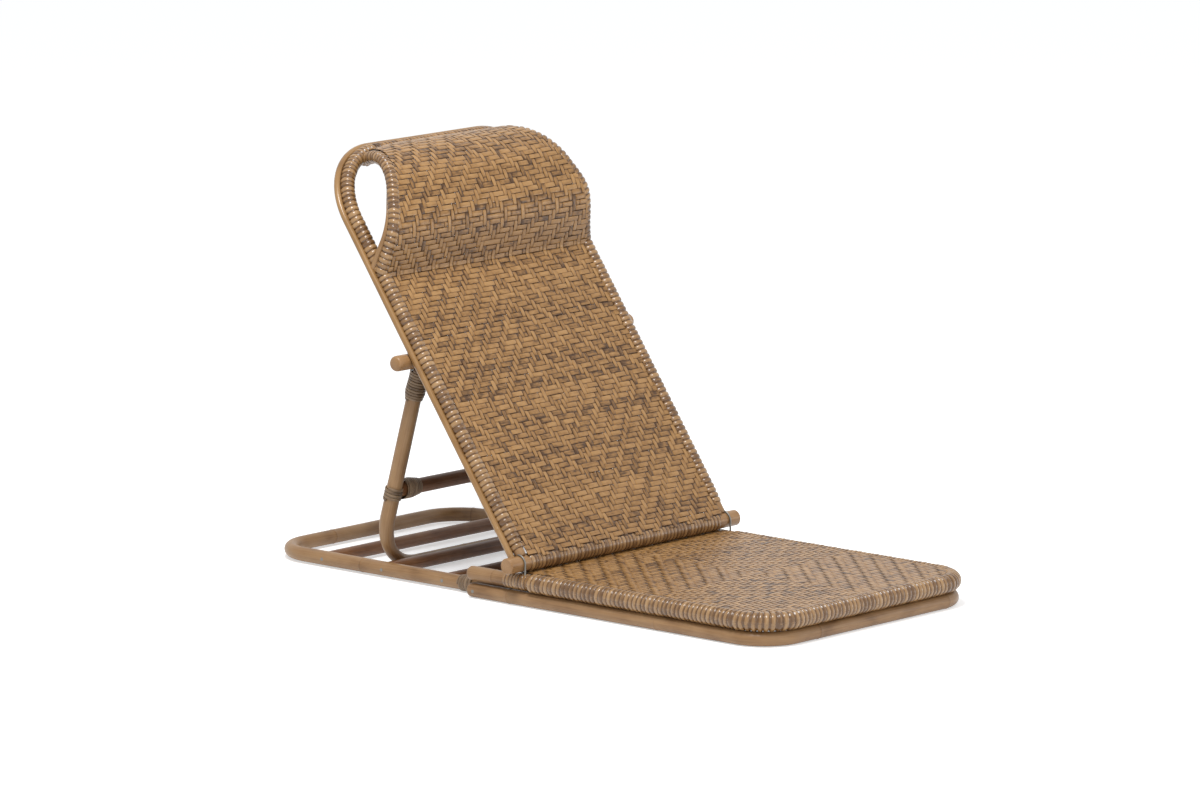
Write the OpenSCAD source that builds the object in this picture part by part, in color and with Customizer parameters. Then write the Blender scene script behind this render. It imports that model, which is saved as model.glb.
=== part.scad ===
// Low folding beach lounger of bent cane poles with a woven seat, back and head roll.
// +X is across, +Y is towards the rear, +Z is up. The floor is z = 0 and the plan is centred on 0, 0.

/* [Base frame] */
// Thickness of the bent poles that lie on the floor
pole_d = 22; // [18:0.5:28]
// Half the distance between the side rails of the rear loop, centre to centre
rear_half = 203.5; // [180:0.5:240]
// From the back's hinge line to the bend at the rear
rear_reach = 527.5; // [500:0.5:600]
// Bend radius of the rear loop's corners, on the centre line
rear_corner = 66; // [60:1:140]
// How far the rear loop's rails run forward of the hinge line, beside the front rails
rear_lap = 120; // [60:1:200]
// Height of the rear loop's poles above the floor
rear_lift = 1.7; // [1.7:0.1:4]
// From the hinge line to the bend at the front of the seat
front_reach = 481; // [420:1:560]
// Bend radius of the seat's front corners, on the centre line
front_corner = 60; // [40:1:90]
// How far the front rails run behind the hinge line
rail_tail = 100; // [70:1:130]

/* [Rest bars] */
// Thickness of the cross bars that stop the prop's foot
rest_d = 20; // [14:0.5:24]
// From the hinge line to the first rest bar
first_rest = 168.5; // [160:0.5:180]
// Distance from one rest bar to the next
rest_pitch = 123.5; // [105:0.5:126]

/* [Seat] */
// Build-up of the woven binding round the seat's edge pole
seat_wrap = 3; // [2:0.1:4]
// Build-up of the thin peel round the same pole under the hinge
thin_wrap = 1.5; // [1:0.1:2]
// Thickness of the woven mats
mat_t = 3.6; // [2.5:0.1:4.5]
// Thickness of the cross bar at the rear of the seat mat
seat_bar_d = 18; // [14:0.5:20]
// From the hinge line forward to that bar
seat_bar_set = 37; // [34:0.5:60]

/* [Back] */
// Lean of the back above the floor, with the prop's foot behind the middle rest bar
back_angle = 54.6; // [52:0.1:57]
// From the hinge line to the top rail, along the back
back_length = 687.4; // [670:0.1:720]
// Thickness of the back's bent pole
back_d = 17; // [14:0.5:20]
// Build-up of the peel round the back's pole
back_wrap = 1.3; // [1:0.1:2]
// How far the back's side poles stand inside the seat's
back_inset = 2.7; // [2:0.1:5]
// How far the back's poles stand in front of the hinge bar's line
back_set = 5.3; // [4.5:0.1:6]
// Bend radius of the back's top corners, on the centre line
back_corner = 112; // [90:1:118]
// Thickness of the cane strip round the back's edge
strip_d = 9.2; // [8:0.1:10]
// Turn of that strip behind the edge pole
strip_turn = 25.5; // [23:0.5:30]
// Bend radius of that strip's top corners, on its centre line
strip_corner = 113; // [100:1:120]
// Thickness of the hinge bar and of the prop's hanging bar
bar_d = 24; // [20:0.5:28]
// How far those two bars stand out past the edge strip
bar_overhang = 15.5; // [6:0.5:25]
// Build-up of the mat's warps round the hinge bar
warp_wrap = 2; // [1:0.1:2.2]
// From the hinge line to the prop's hanging bar, along the back
prop_bar_at = 352.5; // [335:0.5:365]

/* [Head roll] */
// Thickness of the two bows inside the head roll
bow_d = 14; // [10:0.5:16]
// Build-up of the peel that binds the mat's edge to a bow
bow_wrap = 2.4; // [1.6:0.1:3]
// From the middle of the back to a bow's plane, where the roll begins
bow_half = 230.5; // [230:0.5:233]
// Turn of a bow's plane towards the middle, going up
bow_yaw = 24; // [23:0.5:25]
// Outward lean of a bow's plane, coming forward
bow_lean = 8; // [7:0.5:10]
// Place along the back where the roll begins
crease_at = 479.5; // [475:0.5:484]
// Slope of the roll's lower face above the back
heel_slope = 50; // [47:1:53]
// Outer radius of the roll's heel, its lower turn
heel_r = 85; // [80:0.5:88]
// Height of the heel's centre in front of the hinge bar's line
heel_out = -9.5; // [-12:0.5:-7]
// Place along the back of the crown's centre
crown_at = 604; // [598:1:606]
// Height of the crown's centre in front of the hinge bar's line
crown_out = -1; // [-3:0.5:3]
// Outer radius of the roll's crown, its upper turn
crown_r = 80; // [76:0.5:82]

/* [Prop] */
// Thickness of the prop's bent pole
prop_d = 20; // [17:0.5:22]
// How far the prop's legs stand inside the back's side poles
prop_inset = 23; // [22:0.5:28]
// Bend radius of the prop's lower corners, on the centre line
prop_corner = 86; // [76:1:96]
// Thickness of the prop's stretcher
stretcher_d = 19; // [14:0.5:20]
// From the prop's foot up to the stretcher, along the prop
stretcher_rise = 126; // [100:1:150]
// Thickness of the shaved strap that hangs each leg on its bar
strap_t = 1.8; // [1.2:0.1:2]
// Width of that strap
strap_w = 8; // [6:0.5:10]

/* [Bindings and metal] */
// Width of the peel used for lashings
peel_w = 3.4; // [2.4:0.1:3.6]
// Thickness of the peel used for lashings
peel_t = 1.5; // [1:0.1:1.6]
// Thickness of the peel round the rails, thin because it passes under them
thin_peel_t = 1.1; // [0.8:0.1:1.2]
// Distance from one turn of a lashing to the next
turn_pitch = 4.3; // [4.2:0.1:5]
// Thickness of the hinge wires
wire_d = 2.8; // [2:0.1:3.2]
// Thickness of the nails
nail_d = 2.6; // [2:0.1:3]

/* [Hidden] */
$fn = 64;

// Clearances
fit = 0.1;          // between pieces that are nailed, bound or woven together
run = 0.3;          // between pieces that turn on each other
bar_gap = 1.5;      // between the hinge bar and the peel on the rail under it
foot_gap = 2;       // between the prop's foot and the rest bar in front of it
over = 1;           // how far a cutter runs past what it cuts

// Cross sections
pole_r = pole_d / 2;
rest_r = rest_d / 2;
bar_r = bar_d / 2;
seat_wrap_r = pole_r + seat_wrap;
thin_wrap_r = pole_r + thin_wrap;
seat_bar_r = seat_bar_d / 2;
back_r = back_d / 2;
back_wrap_r = back_r + back_wrap;
warp_r = bar_r + warp_wrap;
bow_r = bow_d / 2;
prop_r = prop_d / 2;
stretcher_r = stretcher_d / 2;
wire_r = wire_d / 2;
nail_r = nail_d / 2;
nail_head_r = 2 * nail_r;
nail_head_t = 1;
nail_len = 40;
nail_room = 2;      // empty end of each nail's bore
end_nail = 14;      // from a front rail's end to its nail
strip_r = strip_d / 2;
strip_off = back_wrap_r + fit + strip_r;
strip_at = strip_off * [cos(strip_turn), -sin(strip_turn)];
pole_foot = 8;      // where the back's poles start, above the hinge line
wrap_foot = 19;     // where the peel on them starts

// Levels of the base
front_z = pole_r;
rear_z = pole_r + rear_lift;
seat_z = front_z + pole_r + seat_wrap_r + fit;
mat_sink = 0.4;
mat_top = seat_z + seat_wrap_r - mat_sink;
hinge_z = seat_z + thin_wrap_r + bar_gap + run + bar_r;
seat_half = rear_half + pole_d + fit;
back_half = seat_half - back_inset;
edge_half = back_half + strip_at[0] + strip_r;
bar_half = edge_half + bar_overhang;

// The plan is centred, so the hinge line lies a little in front of the middle
hinge_y = ((front_reach + seat_wrap_r) - (rear_reach + pole_r)) / 2;

// Mats and the bars that they are woven round
seat_bar_z = mat_top - seat_bar_r - mat_t / 2;
bind_r = seat_bar_r + mat_t / 2;
back_mat_sink = 3.2;
back_mat_top = back_set + back_wrap_r - back_mat_sink;
back_mat_low = back_mat_top - mat_t;
mat_side = seat_half - seat_wrap_r * 0.25;
bind_room = 4;      // between the seat bar's binding and where the edge's binding starts
thin_tail = 25;     // how far the thin peel runs behind the hinge line
bar_room = 2;       // between the seat bar's binding and the edge's
foot_room = 15;     // width of the notch in the back mat beside a side pole's foot
foot_rise = 8;      // height of that notch above the hinge bar
sleeve_room = 0.5;  // between the warps on the hinge bar and a side pole

// Hinge wires: an arch over the hinge bar with two legs driven into the seat rail
wire_x = seat_half + 4;
wire_ring = bar_r + run + wire_r;
wire_depth = 17;
wire_slot = 1.2;
wire_sweep = norm([wire_ring + wire_r, back_set + back_r]) + run;

// Head roll: its outer face is the heel's arc, a straight and the crown's arc
edge_r = bow_r + fit + bow_wrap;
heel_run = (heel_out - back_mat_top + heel_r * cos(heel_slope)) / sin(heel_slope);
heel_way = [cos(heel_slope), sin(heel_slope)];
heel_normal = [-heel_way[1], heel_way[0]];
heel = [crease_at + heel_run * heel_way[0] - heel_r * heel_normal[0], heel_out];
crown = [crown_at, crown_out];
roll_turn = atan2(crown[1] - heel[1], crown[0] - heel[0]) + acos((heel_r - crown_r) / norm(crown - heel));
roll_normal = [cos(roll_turn), sin(roll_turn)];
crease_r = edge_r - mat_t - fit;
crease_v = back_mat_low - crease_r - fit;
mat_end = crease_at - mat_t / tan(heel_slope) - run;

// Bow: the same line, drawn in the bow's own leaning plane as two arcs that meet a straight
bow_foot_at = heel + (heel_r - edge_r) * heel_normal;
bow_points = [for (p = [bow_foot_at, heel + (heel_r - edge_r) * roll_normal,
                        crown + (crown_r - edge_r) * roll_normal, crown + [crown_r - edge_r, 0]]) in_plane(p)];
bow_heads = [for (d = [heel_way, [sin(roll_turn), -cos(roll_turn)], [0, -1]])
             let (e = in_plane(d + [crease_at, 0])) atan2(e[1], e[0])];
bow_turns = [bow_heads[0] - bow_heads[1], bow_heads[1] - bow_heads[2]];
bow_heel_r = norm(bow_points[1] - bow_points[0]) / (2 * sin(bow_turns[0] / 2));
bow_straight = norm(bow_points[2] - bow_points[1]);
bow_crown_r = norm(bow_points[3] - bow_points[2]) / (2 * sin(bow_turns[1] / 2));
foot_stand = 2;     // how far in front of the side pole's axis a bow's root ends
bow_foot = (bow_foot_at[1] - back_set - foot_stand) / (cos(bow_lean) * sin(bow_heads[0]));
bare_end = 14;      // degrees of the crown's arc that carry no peel, beside the top rail
knuckle_t = 0.35;
knuckle_len = 5;

// Prop: hung behind the back, its foot on the floor behind the middle rest bar
prop_half = back_half - prop_inset;
prop_bar_v = back_set + strip_at[1] - strip_r - fit - bar_r;
prop_hang = [prop_bar_at * cos(back_angle) - prop_bar_v * sin(back_angle),
             hinge_z + prop_bar_at * sin(back_angle) + prop_bar_v * cos(back_angle)];
foot_y = first_rest + rest_pitch + rest_r + foot_gap + prop_r;
prop_reach = [foot_y, prop_r] - prop_hang;
prop_len = norm(prop_reach);
prop_angle = atan2(prop_reach[1], prop_reach[0]);
stretcher_at = prop_len - stretcher_rise;
neck_cut = 2.5;     // taken off a leg's radius where the strap lies on it
neck_r = prop_r - neck_cut;
neck_end = 56;
strap_short = 4;    // how far a strap's tails end above the neck's end
neck_slope = 6;
strap_in = neck_r + fit;
strap_out = strap_in + strap_t;
strap_bend = 24;
strap_end = neck_end - strap_short;

// Lashings: flat peel wound as one tube, with this many rings and sides
rings = 12;
sides = 6;
sag = 1 / cos(180 / rings);
lash_turns = 7;
prop_turns = 11;
leg_turns = 4;
collar_turns = 8;
leg_pitch = 5;
leg_drop = 6;       // how far the first turn on a leg lies above the stretcher's axis
rail_flare = [[0, 2.4], [0.3, 1.6], [1, 0]];
collar_flare = [[0, 3.4], [0.5, 3.6], [1, 0]];
prop_swell = 0.8;   // extra build-up low on the prop's lashing, before it tapers to the leg
strap_share = 0.3;  // share of the strap's slope that is left at the lashing's first turn
top_room = 1.2;     // between the strap's corners and the lashing, at its first turn
mid_room = 0.9;     // the same at the middle of the lashing
lash_foot = 6;      // from the hanging bar to the lashing's first turn
cope_room = 0.6;
cope_r = prop_r + fit + peel_t * sag + fit + cope_room;
blunt = 0.28;       // share of a pole's radius taken off at its blunt end

echo(hinge_m = [0, hinge_y, hinge_z], prop_hinge_m = [0, hinge_y + prop_hang[0], prop_hang[1]]);
echo(prop_fold = prop_angle + 180 - back_angle, prop_len = prop_len);

// A point given as [along the back, forward], seen in the bow's plane
function in_plane(p) = let (t = p[1] / cos(bow_lean))
    [(p[0] - crease_at - t * sin(bow_lean) * sin(bow_yaw)) / cos(bow_yaw), t];

// Frames: on the hinge line, on the leaning back and on the prop
module at_hinge() { translate([0, hinge_y, hinge_z]) children(); }
module on_base() { translate([0, hinge_y, 0]) children(); }
module on_back() { at_hinge() rotate([back_angle, 0, 0]) children(); }
module on_prop() {
    translate([0, hinge_y + prop_hang[0], prop_hang[1]]) rotate([prop_angle, 0, 0]) children();
}

// A round bar along X, centred on the origin
module cross_rod(r, half) {
    rotate([0, 90, 0]) cylinder(r = r, h = 2 * half, center = true);
}

// A bar along X with its two ends eased
module eased_rod(r, half) {
    ease = r * 0.12;
    cross_rod(r, half - ease);
    for (side = [0, 1]) mirror([side, 0, 0]) translate([half - ease, 0, 0])
        rotate([0, 90, 0]) cylinder(r1 = r, r2 = r - ease, h = ease);
}

// Carries a section round a U that lies flat, with its bend at y = 0 and its legs along +Y.
// The section's x points out of the U and its y points up.
module along_u(half, depth, corner) {
    flat = half - corner;
    translate([flat, 0, 0]) rotate([90, 0, -90]) linear_extrude(2 * flat) children();
    translate([half, depth, 0]) rotate([90, 0, 0]) linear_extrude(depth - corner) children();
    translate([-half, corner, 0]) rotate([90, 0, 180]) linear_extrude(depth - corner) children();
    translate([flat, corner, 0]) rotate([0, 0, -90]) rotate_extrude(angle = 90)
        translate([corner, 0]) children();
    translate([-flat, corner, 0]) rotate([0, 0, 180]) rotate_extrude(angle = 90)
        translate([corner, 0]) children();
}

// The same U with its legs pointing down a leaning frame from a bend at y = reach
module hanging_u(half, reach, depth, corner) {
    translate([0, reach, 0]) rotate([0, 0, 180]) along_u(half, depth, corner) children();
}

module ring_section(r_out, r_in) {
    difference() {
        circle(r_out);
        circle(r_in);
    }
}

// Short cone that rounds off a pole's end, pointing along +Y
module blunt_end(r) {
    rotate([-90, 0, 0]) cylinder(r1 = r, r2 = r * (1 - blunt), h = r * blunt);
}

// Winding: one unbroken tube round the Z axis. shape lists [share of the way, radius].
// As it swells, the turns move along rise, so that the side away from rise stays in line.
function wound(turns, pitch, shape, rise) = let (n = turns * rings, least = min([for (s = shape) s[1]]))
    [for (i = [0 : n]) let (t = i / n, a = 360 * turns * t, r = lookup(t, shape), swell = r - least)
        [r * cos(a) + swell * rise[0], r * sin(a) + swell * rise[1], pitch * turns * t, a]];

function point(p) = [p[0], p[1], p[2]];

// Shape of a winding that stands off its pole by the amounts in flare
function flared(r, flare) = [for (f = flare) [f[0], r + f[1]]];

function least_gap(path, width) = let (n = len(path), apart = floor(rings * 0.6))
    min([for (i = [0 : n - 1]) for (j = [i + apart : 1 : n - 1])
        norm(point(path[i]) - point(path[j]))]) - width;

// A straight lead one peel width long carries on at each end of the winding
function with_leads(path) = let (n = len(path), d0 = point(path[0]) - point(path[1]),
        d1 = point(path[n - 1]) - point(path[n - 2]),
        a = point(path[0]) + peel_w * d0 / norm(d0), b = point(path[n - 1]) + peel_w * d1 / norm(d1))
    concat([[a[0], a[1], a[2], path[0][3]]], path, [[b[0], b[1], b[2], path[n - 1][3]]]);

module winding(name, turns, pitch, shape, thick = peel_t, rise = [0, 0]) {
    bare = wound(turns, pitch, shape, rise);
    path = with_leads(bare);
    last = len(path) - 1;
    points = [for (p = path) for (s = [0 : sides - 1]) let (c = 360 * s / sides)
        point(p) + thick / 2 * cos(c) * [cos(p[3]), sin(p[3]), 0] + peel_w / 2 * sin(c) * [0, 0, 1]];
    walls = [for (i = [0 : last - 1]) for (s = [0 : sides - 1]) let (
            a = i * sides + s, b = i * sides + (s + 1) % sides, c = a + sides, d = b + sides)
        each [[a, b, c], [b, d, c]]];
    caps = [for (s = [1 : sides - 2])
        each [[0, s + 1, s], [last * sides, last * sides + s, last * sides + s + 1]]];
    echo(str(name, " least gap between turns"), least_gap(bare, peel_w * sin(60)));
    polyhedron(points = points, faces = concat(walls, caps));
}

// Cutters that pieces share
module seat_pole_solid(r) {
    on_base() translate([0, -front_reach, seat_z])
        along_u(seat_half, front_reach + rail_tail, front_corner) circle(r);
}

module back_pole_solid(r, start = pole_foot) {
    translate([0, 0, back_set]) hanging_u(back_half, back_length, back_length - start, back_corner) circle(r);
}

module strip_solid(r) {
    translate([0, 0, back_set + strip_at[1]])
        hanging_u(back_half + strip_at[0], back_length + strip_at[0],
                  back_length + strip_at[0] - pole_foot, strip_corner) circle(r);
}

// Room for the hinge wires, which stand still while the back's poles turn between them
module wire_room() {
    for (x = [-wire_x, wire_x]) translate([x, 0, 0]) cross_rod(wire_sweep, wire_r + wire_slot);
}

module hinge_wire_bores() {
    on_base() for (x = [-wire_x, wire_x]) for (y = [-wire_ring, wire_ring])
        translate([x, y, seat_z]) cylinder(r = wire_r + fit, h = 4 * pole_d, center = true);
}

module nail(length) {
    cylinder(r = nail_r, h = length);
    translate([0, 0, -nail_head_t]) cylinder(r = nail_head_r, h = nail_head_t);
}

module nail_bore(length) {
    translate([0, 0, -over]) cylinder(r = nail_r + fit, h = length + 2 * over);
    translate([0, 0, -pole_r]) cylinder(r = nail_head_r + fit, h = pole_r);
}

// Where the nails are driven: rails into rest bars, and front rails' ends
module each_nail() {
    on_base() for (side = [0, 1]) mirror([side, 0, 0]) {
        for (i = [0 : 2]) translate([rear_half + pole_r - nail_head_t, first_rest + i * rest_pitch, rear_z])
            rotate([0, -90, 0]) children();
        translate([seat_half + pole_r - nail_head_t, rail_tail - end_nail, front_z]) rotate([0, -90, 0]) children();
    }
}

module rear_loop() {
    color("#8a6a52") difference() {
        on_base() translate([0, rear_reach, rear_z]) rotate([0, 0, 180])
            along_u(rear_half, rear_reach + rear_lap, rear_corner) circle(pole_r);
        each_nail() nail_bore(nail_len);
    }
}

module front_loop() {
    color("#8a6a52") difference() {
        on_base() {
            translate([0, -front_reach, front_z])
                along_u(seat_half, front_reach + rail_tail, front_corner) circle(pole_r);
            for (x = [-seat_half, seat_half]) translate([x, rail_tail, front_z]) blunt_end(pole_r);
        }
        each_nail() nail_bore(nail_len);
    }
}

module seat_frame() {
    color("#93705a") difference() {
        union() {
            seat_pole_solid(pole_r);
            on_base() for (x = [-seat_half, seat_half]) translate([x, rail_tail, seat_z]) blunt_end(pole_r);
        }
        hinge_wire_bores();
    }
}

// A cross bar coped round the two rails that it stands between
module rest_bar(i) {
    color("#7d5f4a") difference() {
        on_base() translate([0, first_rest + i * rest_pitch, rear_z]) cross_rod(rest_r, rear_half);
        on_base() for (x = [-rear_half, rear_half]) translate([x, 0, rear_z])
            rotate([-90, 0, 0]) cylinder(r = pole_r + fit, h = rear_reach);
        each_nail() nail_bore(nail_len);
    }
}

module seat_rear_bar() {
    color("#93705a") difference() {
        on_base() translate([0, -seat_bar_set, seat_bar_z]) cross_rod(seat_bar_r, seat_half);
        seat_pole_solid(pole_r + fit);
    }
}

module seat_weave() {
    color("#a67c4c") {
        difference() {
            on_base() translate([0, 0, mat_top - mat_t]) linear_extrude(mat_t) union() {
                inset = seat_half - mat_side;
                round_r = front_corner - inset;
                front = -front_reach + inset;
                translate([-mat_side, front + round_r]) square([2 * mat_side, -seat_bar_set - front - round_r]);
                translate([-mat_side + round_r, front]) square([2 * (mat_side - round_r), 2 * round_r]);
                for (x = [-1, 1]) translate([x * (mat_side - round_r), front + round_r]) circle(round_r);
            }
            seat_pole_solid(seat_wrap_r + fit);
            on_base() translate([0, -seat_bar_set, seat_bar_z]) cross_rod(seat_bar_r + fit, seat_half);
        }
        on_base() translate([0, -seat_bar_set, seat_bar_z]) difference() {
            cross_rod(bind_r, seat_half - seat_wrap_r - bar_room);
            cross_rod(seat_bar_r + fit, seat_half);
        }
    }
}

module seat_edge_wrap() {
    color("#a67c4c") difference() {
        on_base() translate([0, -front_reach, seat_z]) {
            along_u(seat_half, front_reach - seat_bar_set + bind_r + bind_room, front_corner)
                ring_section(seat_wrap_r, pole_r + fit);
            for (x = [-seat_half, seat_half]) translate([x, front_reach + thin_tail, 0]) rotate([90, 0, 0])
                linear_extrude(thin_tail + seat_bar_set - bind_r - bind_room)
                    ring_section(thin_wrap_r, pole_r + fit);
        }
        on_base() translate([0, -seat_bar_set, seat_bar_z]) cross_rod(seat_bar_r + fit, seat_half);
        hinge_wire_bores();
    }
}

module rail_lashing() {
    first = pole_r + fit + thin_peel_t / 2 + pole_r * (sag - 1);
    color("#8f8069") on_base() translate([rear_half, rail_tail + blunt * pole_r + peel_w, rear_z])
        rotate([-90, 0, 0])
        winding("rail lashing", lash_turns, turn_pitch, flared(first, rail_flare), thin_peel_t, [0, -1]);
}

module frame_nails() {
    color("#8d8d88") each_nail() nail(nail_len - nail_room);
}

module hinge_wire() {
    color("#9a9a96") at_hinge() translate([wire_x, 0, 0]) {
        rotate([90, 0, 90]) rotate_extrude(angle = 180) translate([wire_ring, 0]) circle(wire_r);
        for (y = [-wire_ring, wire_ring]) translate([0, y, -(hinge_z - seat_z) - pole_r + wire_depth - pole_r])
            cylinder(r = wire_r, h = hinge_z - seat_z + pole_d - wire_depth);
    }
}

module hinge_bar() {
    color("#a5764a") at_hinge() eased_rod(bar_r, bar_half);
}

module back_frame() {
    color("#93705a") difference() {
        on_back() back_pole_solid(back_r);
        at_hinge() {
            cross_rod(bar_r + fit, bar_half);
            wire_room();
        }
    }
}

module back_edge_wrap() {
    color("#a67c4c") on_back() translate([0, 0, back_set])
        hanging_u(back_half, back_length, back_length - wrap_foot, back_corner)
        ring_section(back_wrap_r, back_r + fit);
}

module edge_strip() {
    color("#b08a58") difference() {
        on_back() strip_solid(strip_r);
        at_hinge() {
            cross_rod(bar_r + fit, bar_half);
            wire_room();
        }
    }
}

module back_weave() {
    half = back_half - back_wrap_r / 2;
    color("#a67c4c") on_back() {
        difference() {
            translate([-half, 0, back_mat_low]) cube([2 * half, mat_end, mat_t]);
            cross_rod(bar_r + fit, bar_half);
            back_pole_solid(back_wrap_r + fit);
            for (x = [-1, 1]) translate([x * back_half, foot_rise / 2, 0])
                cube([2 * foot_room, 2 * bar_r + foot_rise, 2 * back_length], center = true);
        }
        difference() {
            cross_rod(warp_r, back_half - back_r - sleeve_room);
            cross_rod(bar_r + fit, bar_half);
        }
    }
}

module prop_bar() {
    color("#a5764a") on_back() translate([0, prop_bar_at, prop_bar_v]) eased_rod(bar_r, bar_half);
}

module crease_bar() {
    color("#93705a") on_back() difference() {
        translate([0, crease_at, crease_v]) cross_rod(crease_r, back_half);
        back_pole_solid(back_wrap_r + fit);
    }
}

// Flat band between two depths under the roll's outer face
module roll_band(high, low) {
    difference() {
        roll_region(high);
        roll_region(low);
        translate([0, back_mat_low - 2 * crown_r]) square([crown_at, 2 * crown_r]);
        translate([crown_at, -2 * crown_r]) square([crown_at, 2 * crown_r]);
    }
}

// Everything behind the roll's line at one depth under its outer face
module roll_region(deep) {
    h = heel_r - deep;
    r = crown_r - deep;
    translate(heel) circle(h);
    translate(crown) circle(r);
    polygon([heel + h * heel_normal, heel + h * heel_normal - (heel_run + 2 * mat_t) * heel_way,
             [crown[0] + r, crown[1] - over], crown + [r, 0], crown + r * roll_normal, heel + h * roll_normal]);
}

// The right-hand bow's plane: x runs up the back, y comes forward and z points outward
module bow_plane() {
    translate([bow_half, crease_at, 0]) rotate([0, 0, bow_yaw]) rotate([0, bow_lean, 0])
        rotate([90, 0, 90]) children();
}

// Pieces of a bent pole, each carrying on where the one before it ended. A knuckle, the slight
// ring that cane has at its joints, stands where a straight piece meets a bend.
module knuckle(r) {
    rotate([90, 0, 90]) translate([0, 0, -knuckle_len / 2]) linear_extrude(knuckle_len) circle(r + knuckle_t);
}

module ahead(length, r) {
    rotate([90, 0, 90]) linear_extrude(length) circle(r);
    translate([length, 0, 0]) children();
}

module bend(r, angle, pole) {
    translate([0, -r, 0]) rotate([0, 0, 90 - angle]) rotate_extrude(angle = angle)
        translate([r, 0]) circle(pole);
    translate([r * sin(angle), r * (cos(angle) - 1), 0]) rotate([0, 0, -angle]) children();
}

// Stands at the upper end of the bow's root, with x along the pole
module at_bow_heel() {
    bow_plane() translate([bow_points[0][0], bow_points[0][1], 0]) rotate([0, 0, bow_heads[0]]) children();
}

// The bow above its root, ending a given angle short of its end
module bow_arcs(r, short) {
    at_bow_heel() bend(bow_heel_r, bow_turns[0], r) {
        knuckle(r);
        ahead(bow_straight, r) {
            knuckle(r);
            bend(bow_crown_r, bow_turns[1] - short, r);
        }
    }
}

// The whole bow, ending short degrees before the rail and starting past millimetres below its root
module bow_solid(r, short = 0, past = 0) {
    at_bow_heel() {
        translate([-bow_foot - past, 0, 0]) ahead(bow_foot + past, r);
        knuckle(r);
    }
    bow_arcs(r, short);
}

module head_bow() {
    color("#93705a") on_back() difference() {
        bow_solid(bow_r);
        translate([0, crease_at, crease_v]) cross_rod(crease_r + fit, back_half);
        back_pole_solid(back_wrap_r + fit);
        strip_solid(strip_r + fit);
    }
}

module head_wrap() {
    color("#a67c4c") on_back() difference() {
        bow_solid(edge_r, bare_end);
        bow_solid(bow_r + fit, 0, over);
        translate([0, crease_at, crease_v]) cross_rod(crease_r + fit, back_half);
        back_pole_solid(back_wrap_r + fit);
        strip_solid(strip_r + fit);
    }
}

module head_weave() {
    half = bow_half + 2 * edge_r;
    far = 2 * back_length;
    color("#a67c4c") on_back() difference() {
        rotate([90, 0, 90]) translate([0, 0, -half]) linear_extrude(2 * half) roll_band(0, mat_t);
        for (side = [0, 1]) mirror([side, 0, 0]) {
            bow_plane() translate([-far, -far, -edge_r / 2]) cube([2 * far, 2 * far, far]);
            bow_solid(edge_r + fit);
        }
        back_pole_solid(back_wrap_r + fit);
        strip_solid(strip_r + fit);
    }
}

module prop_frame() {
    color("#8a6a52") on_prop() difference() {
        union() {
            hanging_u(prop_half, prop_len, prop_len - neck_end - neck_slope, prop_corner) circle(prop_r);
            for (x = [-prop_half, prop_half]) translate([x, 0, 0]) rotate([-90, 0, 0]) {
                translate([0, 0, neck_end]) cylinder(r1 = neck_r, r2 = prop_r, h = neck_slope);
                cylinder(r = neck_r, h = neck_end);
            }
        }
        cross_rod(bar_r + run, bar_half);
    }
}

module prop_stretcher() {
    color("#6d4f3c") on_prop() difference() {
        translate([0, stretcher_at, 0]) cross_rod(stretcher_r, prop_half);
        for (x = [-prop_half, prop_half]) translate([x, 0, 0]) rotate([-90, 0, 0])
            cylinder(r = cope_r, h = prop_len);
    }
}

module stretcher_lashing() {
    r = prop_r + fit + peel_t / 2 + prop_r * (sag - 1);
    color("#a08368") on_prop()
        translate([prop_half, stretcher_at - leg_drop, 0]) rotate([-90, 0, 0])
        winding("stretcher lashing", leg_turns, leg_pitch, [[0, r], [1, r]]);
}

module stretcher_collar() {
    r = stretcher_r + fit + peel_t / 2 + stretcher_r * (sag - 1);
    color("#7c6552") on_prop()
        translate([prop_half - cope_r - peel_w, stretcher_at, 0]) rotate([0, -90, 0])
        winding("stretcher collar", collar_turns, turn_pitch, flared(r, collar_flare));
}

// Shaved strap over the prop's hanging bar, its two tails lying along the leg's neck
module prop_strap() {
    bend_in = bar_r + run;
    bend_out = bend_in + strap_t;
    tail = [[0, bend_in], [strap_bend, strap_in], [strap_end, strap_in],
            [strap_end, strap_out], [strap_bend, strap_out], [0, bend_out]];
    color("#93705a") on_prop() translate([prop_half, 0, 0]) rotate([90, 0, 90]) {
        rotate([0, 0, 90]) rotate_extrude(angle = 180) translate([bend_in, -strap_w / 2])
            square([strap_t, strap_w]);
        for (side = [0, 1]) mirror([0, side, 0]) translate([0, 0, -strap_w / 2])
            linear_extrude(strap_w) polygon(tail);
    }
}

module prop_lashing() {
    lie = fit + peel_t / 2;
    top_r = norm([strap_out + (bar_r - neck_r) * strap_share, strap_w / 2]) + lie + top_room;
    mid_r = norm([strap_out, strap_w / 2]) + lie + mid_room;
    low_r = prop_r + lie + prop_r * (sag - 1);
    color("#8f8069") on_prop() translate([prop_half, bar_r + lash_foot, 0]) rotate([-90, 0, 0])
        winding("prop lashing", prop_turns, turn_pitch,
                [[0, top_r], [0.3, mid_r], [0.75, mid_r + prop_swell], [1, low_r]]);
}

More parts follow.
